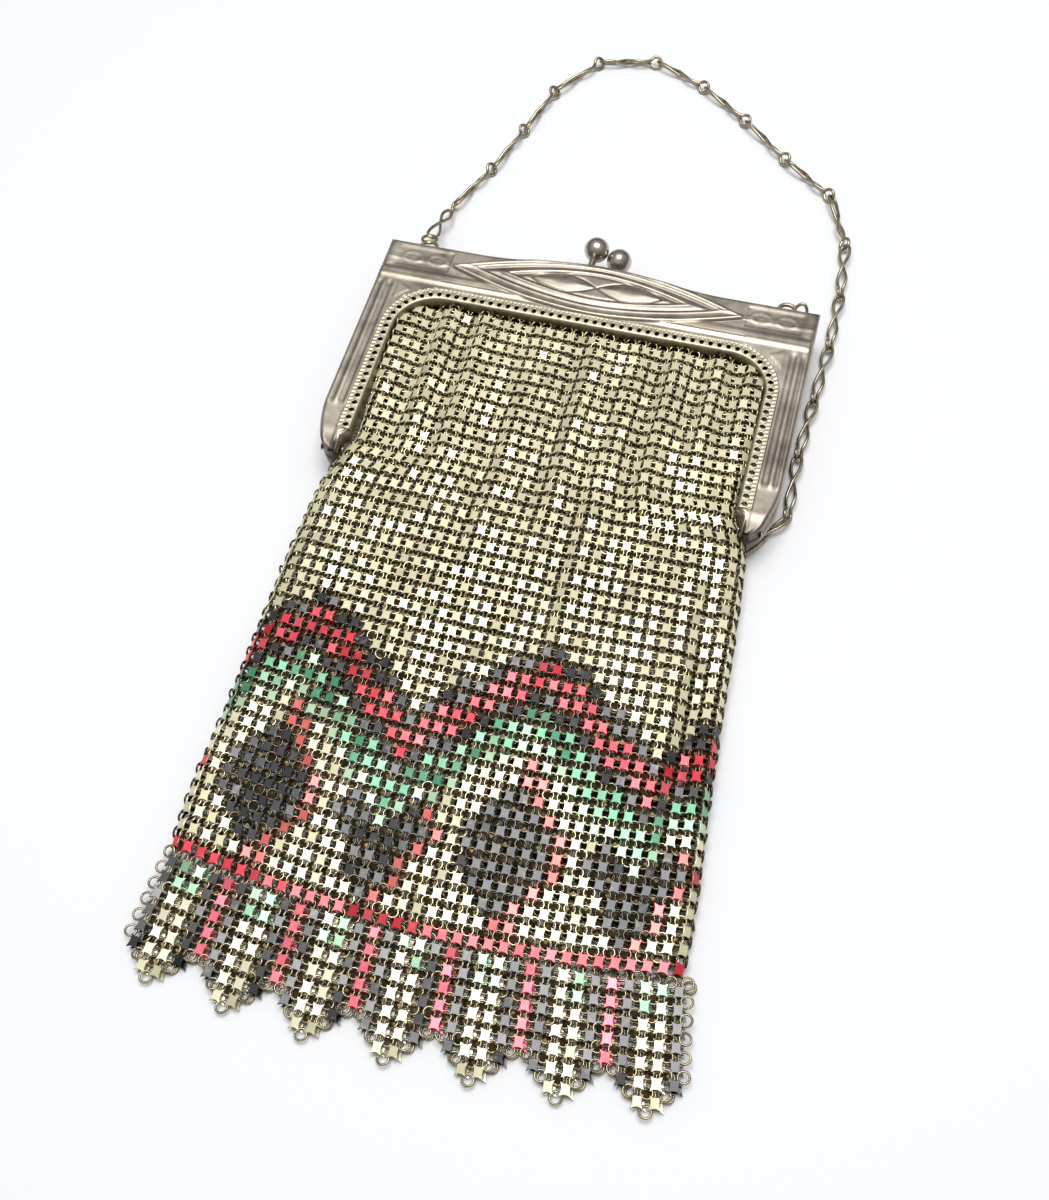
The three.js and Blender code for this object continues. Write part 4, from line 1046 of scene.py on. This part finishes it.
def chain_link(start, end, roll):
    along = (end - start) / np.linalg.norm(end - start)
    level = np.cross((0, 0, 1), along)
    level /= np.linalg.norm(level)
    upward = np.cross(along, level)
    loop = level * math.cos(roll) + upward * math.sin(roll)
    eye = -level * math.sin(roll) + upward * math.cos(roll)
    bite = WIRE_RADIUS
    length = np.linalg.norm(end - start) + 2 * bite
    origin = start - along * bite
    neck = length - 2 * EYE_RADIUS
    # share of the way to the neck, half the loop's width and the strand's height where the two cross
    shares = [(0.02, 0.62, 0.0), (0.1, 1.0, 0.0), (0.25, 0.94, 0.0), (0.4, 0.42, 0.3), (0.5, 0.0, 0.45),
              (0.6, -0.38, 0.32), (0.75, -0.86, 0.1), (0.88, -0.72, 0.1), (0.98, -0.26, 0.4)]
    strand = [(u * neck, v * LOOP_HALF, w) for u, v, w in shares]
    round_eye = ((0.42, 0.84), (1.1, 1.0), (1.65, 0.72))
    strand += [(neck + u * EYE_RADIUS, 0.0, w * EYE_RADIUS) for u, w in round_eye]
    back = [(u, -v, -w) for u, v, w in strand[::-1]]
    path = [(0, 0, 0), *strand, (length, 0, 0), *back]
    points = [origin + along * u + loop * v + eye * w for u, v, w in path]
    return tube(smooth_loop(points, 64), WIRE_RADIUS, 7)


def oval_ring(near, far, width, radius):
    along = (far - near) / np.linalg.norm(far - near)
    across = X - along * along[0]
    across /= np.linalg.norm(across)
    middle, reach = (near + far) / 2, np.linalg.norm(far - near) / 2
    a = np.arange(24) * 2 * math.pi / 24
    points = middle + np.outer(np.cos(a) * reach, along) + np.outer(np.sin(a) * width / 2, across)
    return tube(points, radius, 7)


EYELET = {"x": 48.1, "rise": 3.4, "radius": 2.2, "wire": 0.55, "z": MEETING - 0.95}
END_RINGS = ((-1, 0, -0.8), (1, -1, 3.7))
END_RING_WIDTH = 3.9


def chain():
    store = ([], [])
    rolls = [math.radians(j[2]) for j in JOINTS]
    joints = [np.array((x, y, link_height(r) + lift)) for (x, y, _, lift), r in zip(JOINTS, rolls)]
    for i in range(len(joints) - 1):
        add(store, *chain_link(joints[i], joints[i + 1], rolls[i]))
    crown = BAR_TOP + EYELET["rise"] + EYELET["radius"]
    for side, joint, aside in END_RINGS:
        end = joints[joint]
        wire = np.array((side * EYELET["x"] + aside, crown, EYELET["z"]))
        along = (end - wire) / np.linalg.norm(end - wire)
        add(store, *oval_ring(wire - along * 0.9, end + along * WIRE_RADIUS, END_RING_WIDTH, WIRE_RADIUS))
    obj = build("chain_links", np.concatenate(store[0]), store[1], WIRE)
    finish_piece(obj, "wire", "chain")


def lathe(profile, sides, origin, axis_x, axis_y, axis_z):
    """Turns (radius, height) pairs about axis_z; both ends lie on the axis."""
    verts, faces = [], []
    for r, h in profile[1:-1]:
        for i in range(sides):
            a = 2 * math.pi * i / sides
            verts.append(origin + axis_x * r * math.cos(a) + axis_y * r * math.sin(a) + axis_z * h)
    rings = len(profile) - 2
    for k in range(rings - 1):
        for i in range(sides):
            j = (i + 1) % sides
            faces.append((k * sides + i, k * sides + j, (k + 1) * sides + j, (k + 1) * sides + i))
    low, high = len(verts), len(verts) + 1
    verts += [origin + axis_z * profile[0][1], origin + axis_z * profile[-1][1]]
    for i in range(sides):
        j = (i + 1) % sides
        faces.append((low, j, i))
        faces.append((high, (rings - 1) * sides + i, (rings - 1) * sides + j))
    return np.array(verts), faces


BALL_RADIUS = 3.3
BALL_STAGGER = 0.9
BALL_SPREAD = 3.15
BALL_SHIFT = 0.7
BALL_RISE = 7.8


def clasp():
    for side, node in ((-1, "clasp_ball_front"), (1, "clasp_ball_back")):
        x = side * BALL_SPREAD - BALL_SHIFT
        centre = float(bar_top(0)) + BALL_RISE - 0.5 * side
        store = ([], [])
        steps = [math.pi * i / 16 for i in range(17)]
        ball = [(BALL_RADIUS * math.sin(a), -BALL_RADIUS * math.cos(a)) for a in steps]
        add(store, *lathe(ball, 28, np.array((x, centre, MEETING - side * BALL_STAGGER)), X, -Z, Y))
        foot = float(bar_top(x)) - 0.3
        tall = centre - foot
        post = [(0, 0), (1.7, 0), (1.75, 0.35), (1.3, 0.8), (1.0, 1.1)]
        post += [(0.95, tall - 2.0), (0.9, tall), (0, tall)]
        add(store, *lathe(post, 20, np.array((x, foot, MEETING - side * 1.5)), X, -Z, Y))
        obj = build(f"{node}_turned", np.concatenate(store[0]), store[1], NICKEL)
        finish_piece(obj, "nickel", node)


def eyelets():
    store = ([], [])
    for side in (-1, 1):
        shape, faces = torus(EYELET["radius"], EYELET["wire"], 24, 8)
        add(store, shape + (side * EYELET["x"], BAR_TOP + EYELET["rise"], EYELET["z"]), faces)
        tall = EYELET["rise"] - EYELET["radius"] + 0.5
        stem = [(0, 0), (0.8, 0), (0.62, tall * 0.5), (0.6, tall), (0, tall)]
        add(store, *lathe(stem, 12, np.array((side * EYELET["x"], BAR_TOP - 0.4, EYELET["z"])), X, -Z, Y))
    obj = build("chain_eyelets", np.concatenate(store[0]), store[1], WIRE)
    finish_piece(obj, "silver", "frame_back")


def rivets():
    for side, node in ((-1, "hinge_rivet_left"), (1, "hinge_rivet_right")):
        height = 2.5 - ARM_LENGTH
        inside, outside = TIP_INSIDE - 0.3, arm_side(height) + 0.1
        profile = [(0, inside - 0.5), (0.8, inside - 0.4), (1.2, inside), (0.7, inside), (0.7, outside),
                   (1.1, outside), (0.8, outside + 0.2), (0, outside + 0.3)]
        origin = np.array((0, height, MEETING))
        verts, faces = lathe(profile, 20, origin, Y * side, Z, X * side)
        obj = build(f"{node}_turned", verts, faces, NICKEL)
        finish_piece(obj, "nickel", node)


half_frame("frame_front", "frame_front", 0.34, False)
half_frame("frame_back", "frame_back", 0.5, True)
eyelets()
rivets()
clasp()
mesh_bag()
fringe("front", 0.0, 3.4, True)
fringe("back", 0.6, 1.0, False)
chain()


# ---- Table, light and camera


def stage():
    mat, _, shader = material("white table", 0.0, 0.7)
    shader.inputs["Base Color"].default_value = (0.865, 0.87, 0.875, 1)
    mesh = bpy.data.meshes.new("table")
    size = 3.0
    corners = [(-size, -size, 0), (size, -size, 0), (size, size, 0), (-size, size, 0)]
    mesh.from_pydata(corners, [], [(0, 1, 2, 3)])
    mesh.materials.append(mat)
    table = bpy.data.objects.new("table", mesh)
    bpy.context.scene.collection.objects.link(table)


def area_light(name, place, target, size, power):
    data = bpy.data.lights.new(name, "AREA")
    data.shape = "RECTANGLE"
    data.size, data.size_y = size
    data.energy = power
    light = bpy.data.objects.new(name, data)
    light.location = place
    light.rotation_euler = (Vector(target) - Vector(place)).to_track_quat("-Z", "Y").to_euler()
    bpy.context.scene.collection.objects.link(light)


def lighting():
    world = bpy.data.worlds.new("studio")
    bpy.context.scene.world = world
    world.use_nodes = True
    tree = world.node_tree
    back = tree.nodes["Background"]
    place = tree.nodes.new("ShaderNodeTexCoord")
    split = tree.nodes.new("ShaderNodeSeparateXYZ")
    link(tree, place.outputs["Generated"], split.inputs["Vector"])
    stops = [
        (0.0, (0.16, 0.16, 0.17)), (0.45, (0.3, 0.305, 0.32)),
        (0.75, (0.5, 0.507, 0.52)), (1.0, (0.81, 0.82, 0.84)),
    ]
    link(tree, ramp(tree, split.outputs["Z"], stops), back.inputs["Color"])
    back.inputs["Strength"].default_value = 1.0
    area_light("softbox", (0.0, 0.15, 1.2), (0, 0.02, 0), (0.72, 0.66), 10.5)


def camera():
    data = bpy.data.cameras.new("camera")
    data.lens = 43.5
    data.sensor_width = 36.0
    data.clip_start = 0.01
    cam = bpy.data.objects.new("camera", data)
    cam.location = (0.05927, -0.15577, 0.29580)
    cam.rotation_euler = tuple(math.radians(a) for a in (29.8107, 2.2237, 15.1932))
    bpy.context.scene.collection.objects.link(cam)
    bpy.context.scene.camera = cam


stage()
lighting()
camera()
bpy.context.scene.view_settings.view_transform = "Standard"
